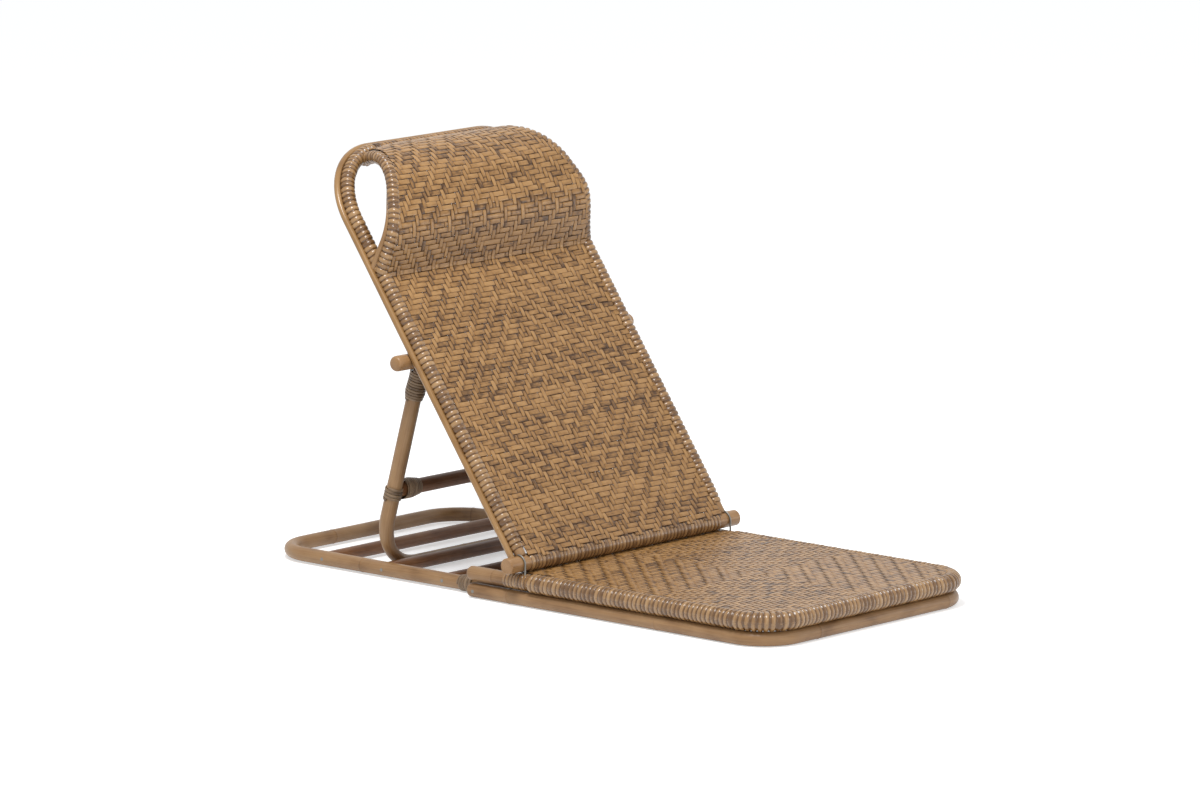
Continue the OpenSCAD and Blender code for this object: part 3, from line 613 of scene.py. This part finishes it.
# %% The roll's outer line
heel_way = heading(heel_slope)
heel_normal = np.array([-heel_way[1], heel_way[0]])
mat_front = back_mat_v + mat_t / 2
heel_run = (heel_out - mat_front + heel_r * np.cos(heel_slope)) / np.sin(heel_slope)
heel = np.array([crease_at + heel_run * heel_way[0] - heel_r * heel_normal[0], heel_out])
rise_u, rise_v = crown - heel
roll_turn = np.arctan2(rise_v, rise_u) + np.arccos((heel_r - crown_r) / np.hypot(rise_u, rise_v))
roll_normal = heading(roll_turn)
roll_way = np.array([roll_normal[1], -roll_normal[0]])
heel_turn = heel_slope + np.pi / 2
face_run = np.hypot(*(crown - heel + (crown_r - heel_r) * roll_normal))
runs = np.cumsum([heel_run, heel_r * (heel_turn - roll_turn), face_run, crown_r * roll_turn])
skin_depth = 1.9


def roll_place(b):
    """Point and outward direction of the roll's outer line at length b: straight, heel arc,
    straight and crown arc, each worked out where b falls in it."""
    b = b[..., None]
    on_heel, on_face, on_crown = b >= runs[0], b >= runs[1], b >= runs[2]
    heel_angle = heel_turn - np.clip((b - runs[0]) / heel_r, 0, heel_turn - roll_turn)
    crown_angle = roll_turn - np.clip((b - runs[2]) / crown_r, 0, roll_turn)
    out = heading(np.where(on_crown, crown_angle, heel_angle)[..., 0])
    low = np.where(on_heel, heel + heel_r * out, np.array([crease_at, mat_front]) + b * heel_way)
    face = heel + heel_r * roll_normal + np.clip(b - runs[1], 0, None) * roll_way
    return np.where(on_crown, crown + crown_r * out, np.where(on_face, face, low)), out


print("lengths to the heel, face, crown and top rail, mm:", [round(float(run)) for run in runs])

# %% [markdown]
# ## The mat's middle
# The roll's outer line is known, but the strands cross on both sides of the mat's middle. So the
# middle lies half the mat's thickness inside that line, and one function gives its place at any
# length from the hinge bar up. The sheet is that line carried across, which is simpler than a
# modelled surface and lets every strand be measured along it.

# %% The mat's surface
crease_r = 14.0
corner_u = crease_at + (skin_depth - mat_t / 2 * np.cos(heel_slope)) / np.sin(heel_slope)
bend_from = corner_u - crease_r * np.tan(heel_slope / 2)
bend_to = bend_from + crease_r * heel_slope
roll_from = (np.array([corner_u - crease_at, -mat_t / 2]) @ heel_way) + crease_r * np.tan(heel_slope / 2)


def crown_reach(x, u):
    """How much further up the crown reaches than its arc, to lap over the top rail: a smooth step
    of 8 mm, which fades to a quarter of that at the left-hand bow."""
    return 8.0 * ease((u - 615.0) / 69.0) * (0.25 + 0.75 * ease((x + 165.0) / 80.0))


def mat_place(m):
    """Middle point and outward direction at length m: up the back, with the rise to the bar's front
    over the lowest 60 mm as a smooth step, a hollow arc at the crease, then the roll's outer line
    sunk by half the mat's thickness."""
    level = back_mat_v + (bar_r + 1.1 - back_mat_v) * ease(1 - m / 60.0)
    turn = np.clip((m - bend_from) / crease_r, 0, heel_slope)
    low = spread(np.minimum(m, bend_from) + crease_r * np.sin(turn), level + crease_r * (1 - np.cos(turn)))
    place, out = roll_place(m - bend_to + roll_from)
    on_roll = (m >= bend_to)[..., None]
    return (np.where(on_roll, place - skin_depth * out, low),
            np.where(on_roll, out, heading(turn + np.pi / 2)))


def mat_surface(a, b):
    """The middle line carried straight across, with the crown's reach."""
    a, b = np.broadcast_arrays(a, b)
    place, out = mat_place(b)
    u, v = place[..., 0], place[..., 1]
    return spread(a, u + crown_reach(a, u), v), spread(0.0, out[..., 0], out[..., 1])


mat_end = runs[3] + bend_to - roll_from
print("mat's length up the back and over the roll, mm:", round(float(mat_end)))

# %% [markdown]
# ## Weaving the back and the roll
# The diamonds of the back and of the roll have their own middles, and meet in step at the crease.
# The strands are made in two lots that join end to end there, so that no piece grows too big: the
# same seed gives a warp the same place, tone and fibres on both sides. On the roll the mat's width
# follows the two bows, which lean together as they rise.

# %% The back's mat
def in_plane(place):
    """A place (u, v) on the back, seen in the bow's leaning plane (s, t)."""
    t = place[..., 1] / np.cos(bow_lean)
    s = (place[..., 0] - crease_at - t * np.sin(bow_lean) * np.sin(bow_yaw)) / np.cos(bow_yaw)
    return spread(s, t)


def mat_side(place):
    """Half-width of the roll's mat at a place (u, v): 4 mm inside the bow's plane there."""
    plane = in_plane(place)
    return (bow_half - plane[..., 0] * np.sin(bow_yaw)
            + plane[..., 1] * np.sin(bow_lean) * np.cos(bow_yaw) - 4.0)


def far_in(u):
    """How far the right-hand bow stands inside its pair's mirror image at height u on the back: a
    bell curve over the heel. The two bows are bent by hand, and the right one is the tighter."""
    return 9.0 * np.exp(-((u - 512.0) / 30.0) ** 2)


mat_start, back_middle, roll_first, roll_middle = 9.7, 29, 57, 65
weft_stop, warp_stop, crease_lap = 12.0, 6.0, 4.0
back_side, mat_warps = back_half - 6.5, np.arange(-28, 29)
all_rows = np.arange(int((mat_end - weft_stop - mat_start) / weft_pitch) + 1)
all_at = mat_start + weft_pitch * all_rows
all_place = mat_place(all_at)[0]
left_sides = np.where(all_at < bend_from, back_side, np.minimum(mat_side(all_place), back_half))
right_sides = np.where(all_at < bend_from, back_side, left_sides - far_in(all_place[:, 0]))
sample = np.linspace(bend_to, mat_end - warp_stop, 600)
sample_place = mat_place(sample)[0]
sample_left = mat_side(sample_place)
sample_right = sample_left - far_in(sample_place[:, 0])
warp_last = np.array([sample[(sample_right if i > 0 else sample_left) >= abs(i) * warp_pitch][-1]
                      for i in mat_warps])
warp_first = np.where(np.abs(mat_warps) < mat_warps[-1], 0.0, bend_from - crease_lap)
join = np.full(len(mat_warps), mat_start + weft_pitch * (roll_first - 0.5))


def from_diamond(j):
    """Rows counted from the middle of the back's diamonds, or of the roll's above the crease."""
    return np.where(j < roll_first, j - back_middle, j - roll_middle)


for name, lot, ends, node, seeds in (
        ("back_mat", all_rows[:roll_first], (warp_first, join), "back_weave", (11, 12)),
        ("head_mat", all_rows[roll_first:], (join, warp_last), "head_weave", (31, 12))):
    weave(name, mat_surface, on_back, lot, mat_start, from_diamond, mat_warps, ends,
          (-left_sides[lot], right_sides[lot]), "backrest", [node], seeds)

# %% [markdown]
# ## Bound poles
# At the mats' edges the wefts and warps turn round the edge pole and bind it, one round after the
# other. A sleeve of rounds is one surface: at each place along the pole its radius is the pole's
# plus a half-ellipse for the round that passes there, so a seam lies between every two rounds.
# Each round's tone darkens towards its edges, which is painted shade in the seam. On the outside of a bend
# the seams open, because a round keeps its width.

# %% Sleeve of rounds
def sleeve_part(line, start, stop, inner_r, thick, place, seed, pitch=weft_pitch, width=7.7, foot=0.0):
    """r = inner + thick * sqrt(1 - (2 d / w)^2)^0.8, where d is the distance along the pole's own
    surface from the middle of the round, and w the peel's width. Over the last 50 mm at each end
    the sleeve slims by foot, as a smooth step."""
    mine = np.random.default_rng(seed)
    count = int(np.floor((stop - start) / pitch))
    share = np.array([-0.5, -0.44, -0.36, -0.2, 0.0, 0.2, 0.36, 0.44])
    number = np.repeat(np.arange(count), len(share))
    middle = start + pitch * (number + 0.5)
    at = middle + pitch * np.tile(share, count)
    shift = mine.uniform(-0.35, 0.35, count)[number]
    wide = (width * (1 + mine.uniform(-0.07, 0.04, count)))[number]
    high = (thick * (1 + mine.uniform(-0.10, 0.12, count)))[number]
    a = np.linspace(0, 2 * np.pi, 26, endpoint=False)
    here = at[:, None] + 0.10 * pitch * np.sin(a)
    p, h = read_line(line, here)
    before, after = read_line(line, here - 1.5)[1], read_line(line, here + 1.5)[1]
    bend = ((after - before) * np.cross(h, upright)).sum(-1) / 3.0
    d = (at - middle - shift)[:, None] * (1.0 - bend * inner_r * np.cos(a))
    rise = np.sqrt(np.clip(1 - (2 * d / wide[:, None]) ** 2, 0, 1)) ** 0.8
    slim = foot * ease(1 - np.minimum(at, line[2][-1] - at) / 50.0)
    co = round_section(p, h, inner_r + high[:, None] * rise - slim[:, None], a, upright)
    begin = mine.uniform(0, 3000, count)[number][:, None]
    # Painted shade: a round's tone darkens where it falls away into the seam, down to -1.2.
    tone = np.clip(mine.uniform(0, 1, count)[number][:, None] - 1.5 * (1 - rise), -1.2, 1)
    return tubes(place(co), spread(d + begin, rise, inner_r * a + begin), tone)


seat_total, back_total = seat_line[2][-1], back_line[2][-1]
thick_from, thin_from = rail_tail + seat_bar_set - 14.0, rail_tail - 26.0
seat_rounds = [sleeve_part(seat_line, thick_from, seat_total - thick_from, pole_r + 1.4, 1.9, on_base, 41)]
for start, stop, seed in ((thin_from, thick_from, 42), (seat_total - thick_from, seat_total - thin_from, 43)):
    seat_rounds.append(sleeve_part(seat_line, start, stop, pole_r + 0.4, 1.1, on_base, seed,
                                   pitch=6.2, width=5.9))
make_piece("seat_edge_rounds", seat_rounds, bound_peel, "base", ["seat_edge_wrap"])

seat_bar_half = 211.0
bar_rounds = sleeve_part(cross_line(seat_bar_half, -seat_bar_set, seat_bar_z - 1.6), 0.0, 2 * seat_bar_half,
                         9.3, 1.4, on_base, 44, pitch=warp_pitch, width=7.2)
make_piece("seat_bar_rounds", [bar_rounds], peel, "base")

# %% [markdown]
# ## The back's bound pole
# On the back the wefts bind the side poles, and the warps turn round the top rail and, at the foot,
# round the hinge bar. One sleeve all the way round would be simpler, but wefts and warps differ
# in pitch, so the sides, the rail and the bar each have their own.

# %% The back's rounds
wrap_from = wrap_foot - pole_foot
top_from = back_length - pole_foot - back_corner + back_corner * np.pi / 2
side_rounds = [sleeve_part(back_line, start, stop, back_r + 1.1, 1.9, on_back, seed, foot=1.7)
               for start, stop, seed in ((wrap_from, top_from, 45),
                                         (back_total - top_from, back_total - wrap_from, 48))]
make_piece("back_edge_rounds", side_rounds, bound_peel, "backrest", ["back_edge_wrap"])
rail_rounds = sleeve_part(back_line, top_from - 4.0, back_total - top_from + 6.0, back_r + 0.9, 1.5,
                          on_back, 49, pitch=warp_pitch, width=7.5)
make_piece("top_rail_rounds", [rail_rounds], peel, "backrest", ["back_edge_wrap"])
make_piece("back_pole", [pole_part(back_line, back_r, on_back, 4)], bare_pole, "backrest",
           ["back_frame"])

sleeve_half = back_half - back_r - 0.7
hinge_rounds = sleeve_part(cross_line(sleeve_half), 0.0, 2 * sleeve_half, bar_r + 0.2, 1.5, on_back, 46,
                           pitch=warp_pitch, width=7.3)
make_piece("hinge_bar_rounds", [hinge_rounds], bound_peel, "backrest")

# %% [markdown]
# ## The bows
# A bow is a rod bent by hand that holds the head roll open at its side. It could be a free curve,
# but cane is bent round formers, which leaves straights and arcs. So in its own leaning plane the
# line is a straight, an arc, a straight and an arc that meet without a kink, and the pole, its
# binding and the smooth cane beside it all follow it.

# %% Bow line and frames
def bow_place(points, side):
    """From a bow's plane (s, t, outward) to its place, as the right-hand bow (side 1) or as the
    left-hand one before it is mirrored (side -1)."""
    s, t, w = points[..., 0], points[..., 1], points[..., 2]
    (lean_x, lean_y), (yaw_x, yaw_y) = heading(bow_lean), heading(bow_yaw)
    out = w * lean_x + t * lean_y
    x, u = bow_half + out * yaw_x - s * yaw_y, crease_at + out * yaw_y + s * yaw_x
    if side > 0:
        x = x - far_in(u)
    return on_back(spread(x, u + crown_reach(side * x, u), t * lean_x - w * lean_y))


def mirrored(part):
    """The same part on the left: x changes sign and the faces are turned round."""
    flipped = part["co"] * np.array([-1.0, 1.0, 1.0])
    return {**part, "co": flipped, "faces": [f[:, ::-1] for f in part["faces"]]}


heel_bow_r, crown_bow_r = heel_r - bow_wrap_r, crown_r - bow_wrap_r
foot_place = heel + heel_bow_r * heel_normal
marks = [in_plane(p) for p in (foot_place, heel + heel_bow_r * roll_normal, crown + crown_bow_r * roll_normal,
                               crown + np.array([crown_bow_r, 0.0]))]
ways = [in_plane(way + np.array([crease_at, 0.0])) for way in (heel_way, roll_way, np.array([0.0, -1.0]))]
angles = [np.arctan2(way[1], way[0]) for way in ways]
turns = -np.diff(angles)
# An arc of chord c that turns by a has the radius c / (2 sin(a / 2))
radii = [np.linalg.norm(marks[1] - marks[0]) / (2 * np.sin(turns[0] / 2)),
         np.linalg.norm(marks[3] - marks[2]) / (2 * np.sin(turns[1] / 2))]
straight = np.linalg.norm(marks[2] - marks[1])
root_run = (foot_place[1] - back_set - 2.0) / (np.cos(bow_lean) * np.sin(angles[0]))


def bow_line(short, step=1.5):
    """Straight, arc, straight and arc, each starting where the one before it ended, with the same
    direction. The last arc stops short by an angle."""
    points, ways, way = [], [], angles[0]
    at = marks[0] - root_run * heading(way)
    for radius, turn, run in ((0.0, 0.0, root_run), (radii[0], turns[0], 0.0), (0.0, 0.0, straight),
                              (radii[1], turns[1] - short, 0.0)):
        t = np.arange(0, run, step)
        points.append(at + t[:, None] * heading(way))
        ways.append(np.full(len(t), way))
        at = at + run * heading(way)
        a = np.arange(0, turn, step / max(radius, step))
        centre = at + radius * heading(way - np.pi / 2)
        points.append(centre + radius * heading(way - a + np.pi / 2))
        ways.append(way - a)
        way = way - turn
        at = centre + radius * heading(way + np.pi / 2)
    flat, ways = np.concatenate(points), np.concatenate(ways)
    level = np.zeros((len(flat), 1))
    return measured(np.hstack([flat, level]), np.hstack([heading(ways), level]))


binding, whole_bow = bow_line(np.radians(8.0)), bow_line(np.radians(1.0))
print("a bow's length, mm:", round(float(whole_bow[2][-1])))

# %% [markdown]
# ## The two bows
# Each bow is a rod, the mat's edge bound round it and a thin cane beside it. The left bow is made on
# the right and mirrored. The right one could be that same shape, but on the real lounger it is the
# tighter at its heel, so it is pulled in there.

# %% Bows
def line_beside(line, start, stop):
    """A line beside another: moved by (inwards, outwards) millimetres, from start to stop along it."""
    points, headings, length = line
    share = (length / length[-1])[:, None]
    move = np.asarray(start) * (1 - share) + np.asarray(stop) * share
    inward = spread(headings[:, 1], -headings[:, 0], 0.0)
    return measured(points + move[:, :1] * inward + move[:, 1:] * upright, headings)


NO_NODES = 2000.0
bow_r, bow_sleeve_r, bow_cane_r = 7.5, 7.9, 4.8
for hand, side, seed, start, stop in (("right", 1, 51, (9.0, 4.0), (4.0, 11.5)),
                                      ("left", -1, 52, (11.0, 10.0), (2.0, -6.0))):
    def place(points):
        return bow_place(points, side)

    rounds = sleeve_part(binding, 0.0, binding[2][-1], bow_sleeve_r, 1.8, place, seed)
    pole = pole_part(whole_bow, bow_r, place, seed, ring=20)
    cane_line = line_beside(whole_bow, start, stop)
    cane = pole_part(cane_line, bow_cane_r, place, seed + 5, ring=16, node_every=NO_NODES)
    if hand == "left":
        rounds, pole, cane = mirrored(rounds), mirrored(pole), mirrored(cane)
    make_piece("head_rounds_" + hand, [rounds], bound_peel, "backrest", ["head_wrap_" + hand])
    make_piece("head_pole_" + hand, [pole], bare_pole, "backrest", ["head_bow_" + hand])
    make_piece("bow_cane_" + hand, [cane], bare_pole, "backrest")

# %% [markdown]
# ## The outer cane
# A thinner cane runs round the outside of the bound pole, a little behind it, with its smooth skin
# showing. Scaling the pole's own line would give it the wrong bend, so it has a line with a corner
# radius of its own, a bit sharper than the pole's would give. A thin near-black cane fills the gap
# that opens between the two at the corner. It is painted shade, standing in for the shadow in that gap.

# %% Outer cane
# Painted shade: a thin near-black cane set in the corner gap between the bound pole and the outer cane.
shade_cane_out, shade_cane_behind, shade_cane_from, shade_cane_corner, shade_cane_r = 9.6, 4.6, 30.0, 112.5, 2.6
shade_cane_top = back_length + shade_cane_out
shade_cane_line = u_line(back_half + shade_cane_out, shade_cane_from - shade_cane_top, shade_cane_corner, shade_cane_top,
                      back_set - shade_cane_behind)
shade_cane = pole_part(shade_cane_line, shade_cane_r, on_back, 8, ring=12, node_every=NO_NODES)
make_piece("gap_shade_cane", [shade_cane], shade_cane_skin, "backrest")
outer = pole_part(strip_line, strip_r, on_back, 3, ring=20, node_every=NO_NODES)
make_piece("edge_cane", [outer], split_cane, "backrest", ["edge_strip"])

# %% [markdown]
# ## The prop
# The prop's pole is shaved thin where it hangs on its bar, and swells to its full size below. The
# shaving could be cut with a Boolean, but it is only a change of thickness, so the same pole
# surface is made and then scaled about its own line.

# %% Prop pole
foot_thinner = 1.9


def prop_skin(seed=5):
    """The bent pole with its two necks: radius from the neck's to the pole's over six millimetres.
    Towards the foot's middle it thins by a smooth step, so that it stands on the floor."""
    whole = u_line(prop_half, -(prop_len - bar_r - 0.4), prop_corner, prop_len)
    part = pole_part(whole, prop_r, lambda q: q, seed, ends=1.0)
    at = part["grain"][..., 2] - 1000.0 * seed
    edge = np.minimum(at, whole[2][-1] - at)
    share = np.clip((edge - (neck_end - bar_r)) / neck_slope, 0, 1)
    thin = foot_thinner * ease((edge - (prop_len - bar_r - prop_corner)) / 80.0)
    scale = (neck_r + (prop_r - neck_r) * share - thin) / prop_r
    p = read_line(whole, at[:, 0])[0][:, None]
    part["co"] = on_prop(p + (part["co"] - p) * scale[..., None])
    return part


stretcher_at, hang_half = prop_len - stretcher_rise, 261.0
stretcher = pole_part(cross_line(prop_half - 2.0, stretcher_at), stretcher_r, on_prop, 9)
# The stretcher takes the darker copy of the pole colours, which is painted shade.
make_piece("stretcher_pole", [stretcher], bar_painted_shade, "prop", ["prop_stretcher"])
hanging = pole_part(cross_line(hang_half), bar_r, on_prop, 10)
make_piece("hanging_bar", [hanging], skin_bar_bent, "backrest", ["prop_bar"])
make_piece("prop_pole", [prop_skin()], bare_pole, "prop", ["prop_frame"])

# %% [markdown]
# ## Lashings
# A lashing is one long peel wound as a helix. The formula is a circle that climbs by one pitch a
# turn; where the lashing covers something thicker, the circle grows. The peel's section is the
# same lens as a strand's, standing on the pole.

# %% Wound peel
def wound_part(turns, pitch, shape, width, thick, seed, sag=0.0, per_turn=36):
    """Helix round the z axis: radius looked up in shape, (share of the way, radius) pairs. Where
    it is wider than at its narrowest, its middle moves by sag times the difference along -Y."""
    t = np.linspace(0, 1, turns * per_turn + 1)
    a = 2 * np.pi * turns * t
    table = np.array(shape)
    r = np.interp(t, table[:, 0], table[:, 1])
    out = spread(np.cos(a), np.sin(a), 0.0)
    z = pitch * turns * t + 0.12 * np.sin(a * 0.37 + seed)
    mid = r[:, None] * out + spread(0.0, sag * (table[:, 1].min() - r), z)
    across, up = width * LENS[:, 0], thick * LENS[:, 1]
    co = mid[:, None] + up[:, None] * out[:, None] + across[:, None] * upright
    grain = spread(across, up, (r * a)[:, None] + 700.0 * seed)
    return tubes(co, grain, np.repeat(0.5 + 0.35 * np.sin(2.3 * turns * t + seed), len(LENS)))


def along_y(points, x, y, z):
    """Stands a winding's z axis along +Y at a place: (a, b, c) goes to (x + a, y + c, z - b)."""
    return spread(x + points[..., 0], y + points[..., 2], z - points[..., 1])


def along_minus_x(points, x, y, z):
    """Stands a winding's z axis along -X: (a, b, c) goes to (x - c, y + b, z + a)."""
    return spread(x - points[..., 2], y + points[..., 1], z + points[..., 0])


def wind_both(name, part, put, at, place, body, replaced):
    """Places one winding on the right and its mirror image on the left."""
    right = {**part, "co": place(put(part["co"], *at))}
    make_piece(name + "_right", [right], lashing_peel, body, [replaced + "_right"])
    make_piece(name + "_left", [mirrored(right)], lashing_peel, body, [replaced + "_left"])


lashing_width, lashing_pitch, collar_from = 4.15, 4.3, prop_half - 15.75
rail = wound_part(7, lashing_pitch, [[0, 14.0], [0.3, 13.2], [1, 11.65]], lashing_width, 1.1, 1, sag=1.0)
wind_both("rail_binding", rail, along_y, (rear_half, rail_tail + 0.28 * pole_r + 3.4, rear_z), on_base,
          "base", "rail_lashing")
leg = wound_part(4, 5.0, [[0, 13.0], [1, 13.0]], 4.7, 1.6, 2)
wind_both("leg_binding", leg, along_y, (prop_half, stretcher_at - 6.0, 0.0), on_prop, "prop",
          "stretcher_lashing")
collar = wound_part(8, lashing_pitch, [[0, 14.8], [0.5, 15.0], [1, 12.0]], lashing_width, 1.5, 3)
wind_both("collar_binding", collar, along_minus_x, (collar_from, stretcher_at, 0.0), on_prop, "prop",
          "stretcher_collar")
neck = wound_part(11, lashing_pitch, [[0, 13.6], [0.3, 13.4], [0.75, 14.8], [1, 12.4]], lashing_width, 1.5, 4)
wind_both("neck_binding", neck, along_y, (prop_half, bar_r + 6.0, 0.0), on_prop, "prop", "prop_lashing")

# %% [markdown]
# ## Pieces that stay as modelled
# The rest bars, the hinge bar, the two hidden bars, the straps, wires and nails are plain turned or
# bent stock, so their imported shapes are already true and nothing new is made. Each takes the
# finish that suits it, with its fibres along X where it is a straight bar.

# %% Finishes on the imported nodes
# The rest bars take the darker copy of the pole colours, which is painted shade.
for finish, kept in ((skin_bar, ["hinge_bar"]),
                     (plain_pole_painted_shade, ["rest_bar_front", "rest_bar_middle", "rest_bar_rear"]),
                     (plain_pole, ["seat_rear_bar", "crease_bar", "prop_strap_left", "prop_strap_right"]),
                     (wire_steel, ["hinge_wire_left", "hinge_wire_right", "frame_nails"])):
    for node_name in kept:
        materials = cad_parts[node_name].data.materials
        materials.clear()
        materials.append(finish)
    print(finish.name, "on", ", ".join(kept))

# %% [markdown]
# ## Floor and surround
# The floor and the surround look plain white, but only to the camera and in reflections. Painting
# them brighter would be simpler, but it would also throw more light on the cane and wash out the
# floor's soft shadow.

# %% Floor and surround
def seen_switch(tree, plain_output, seen_output, target):
    """Shows seen_output to the camera and in reflections, and plain_output to all other rays."""
    rays = tree.nodes.new("ShaderNodeLightPath").outputs
    seen = rays["Is Camera Ray"]
    for kind in ("Is Glossy Ray", "Is Transmission Ray"):
        larger = tree.nodes.new("ShaderNodeMath")
        larger.operation = "MAXIMUM"
        tree.links.new(seen, larger.inputs[0])
        tree.links.new(rays[kind], larger.inputs[1])
        seen = larger.outputs[0]
    choice = tree.nodes.new("ShaderNodeMixShader")
    for place, output in enumerate((seen, plain_output, seen_output)):
        tree.links.new(output, choice.inputs[place])
    tree.links.new(choice.outputs[0], target)


reach, floor_drop = 30.0, 0.0005
floor_mesh = bpy.data.meshes.new("floor")
floor_mesh.from_pydata([(-reach, -reach, 0), (reach, -reach, 0), (reach, reach, 0), (-reach, reach, 0)], [],
                       [(0, 1, 2, 3)])
floor = in_scene("floor", floor_mesh)
floor.location.z = -floor_drop
paint, nodes, links, matte = new_finish("floor_paint")
set_inputs(matte, {"Base Color": (0.9, 0.9, 0.9, 1), "Roughness": 0.9, "Specular IOR Level": 0.0})
floor_mesh.materials.append(paint)
plain = nodes["Principled BSDF"].outputs[0]
glow = nodes.new("ShaderNodeEmission")
set_inputs(glow.inputs, {"Strength": 0.5})
both = nodes.new("ShaderNodeAddShader")
links.new(plain, both.inputs[0])
links.new(glow.outputs[0], both.inputs[1])
seen_switch(paint.node_tree, plain, both.outputs[0], nodes["Material Output"].inputs["Surface"])

world = bpy.data.worlds.new("studio")
bpy.context.scene.world = world
world.use_nodes = True
nodes = world.node_tree.nodes
white, soft = nodes.new("ShaderNodeBackground"), nodes["Background"]
set_inputs(white.inputs, {"Color": (1, 1, 1, 1)})
set_inputs(soft.inputs, {"Color": (0.95, 0.97, 1.0, 1), "Strength": 0.55})
seen_switch(world.node_tree, soft.outputs[0], white.outputs[0], nodes["World Output"].inputs["Surface"])
print("the floor is", 2 * reach, "m wide, and lies", 1000 * floor_drop, "mm under the part")

# %% [markdown]
# ## Lamps
# A broad lamp high on the left, a weak one in front and a small low one on the right. A single hard
# lamp would be simpler, but with broad ones the peel's gloss shows as small bright lines and the
# shadows stay soft.

# %% Lamps
def lamp(name, place, target, size, power, height=None):
    """A soft lamp that looks at a target: square, or size wide and height high."""
    data = bpy.data.lights.new(name, "AREA")
    data.size, data.energy = size, power
    if height:
        data.shape, data.size_y = "RECTANGLE", height
    turn = (Vector(target) - Vector(place)).to_track_quat("-Z", "Y").to_matrix().to_4x4()
    in_scene(name, data).matrix_world = Matrix.Translation(place) @ turn
    print(name, power, "W")


lamp("high_lamp", (-1.1, -0.5, 2.8), (0, 0, 0.2), 0.9, 68)
lamp("front_lamp", (-0.8, -3.2, 1.4), (0, 0, 0.25), 2.0, 14)
lamp("low_lamp", (2.2, -1.93, 0.42), (0, 0.2, 0.42), 1.0, 6, 0.6)
bpy.context.scene.view_settings.view_transform = "Standard"
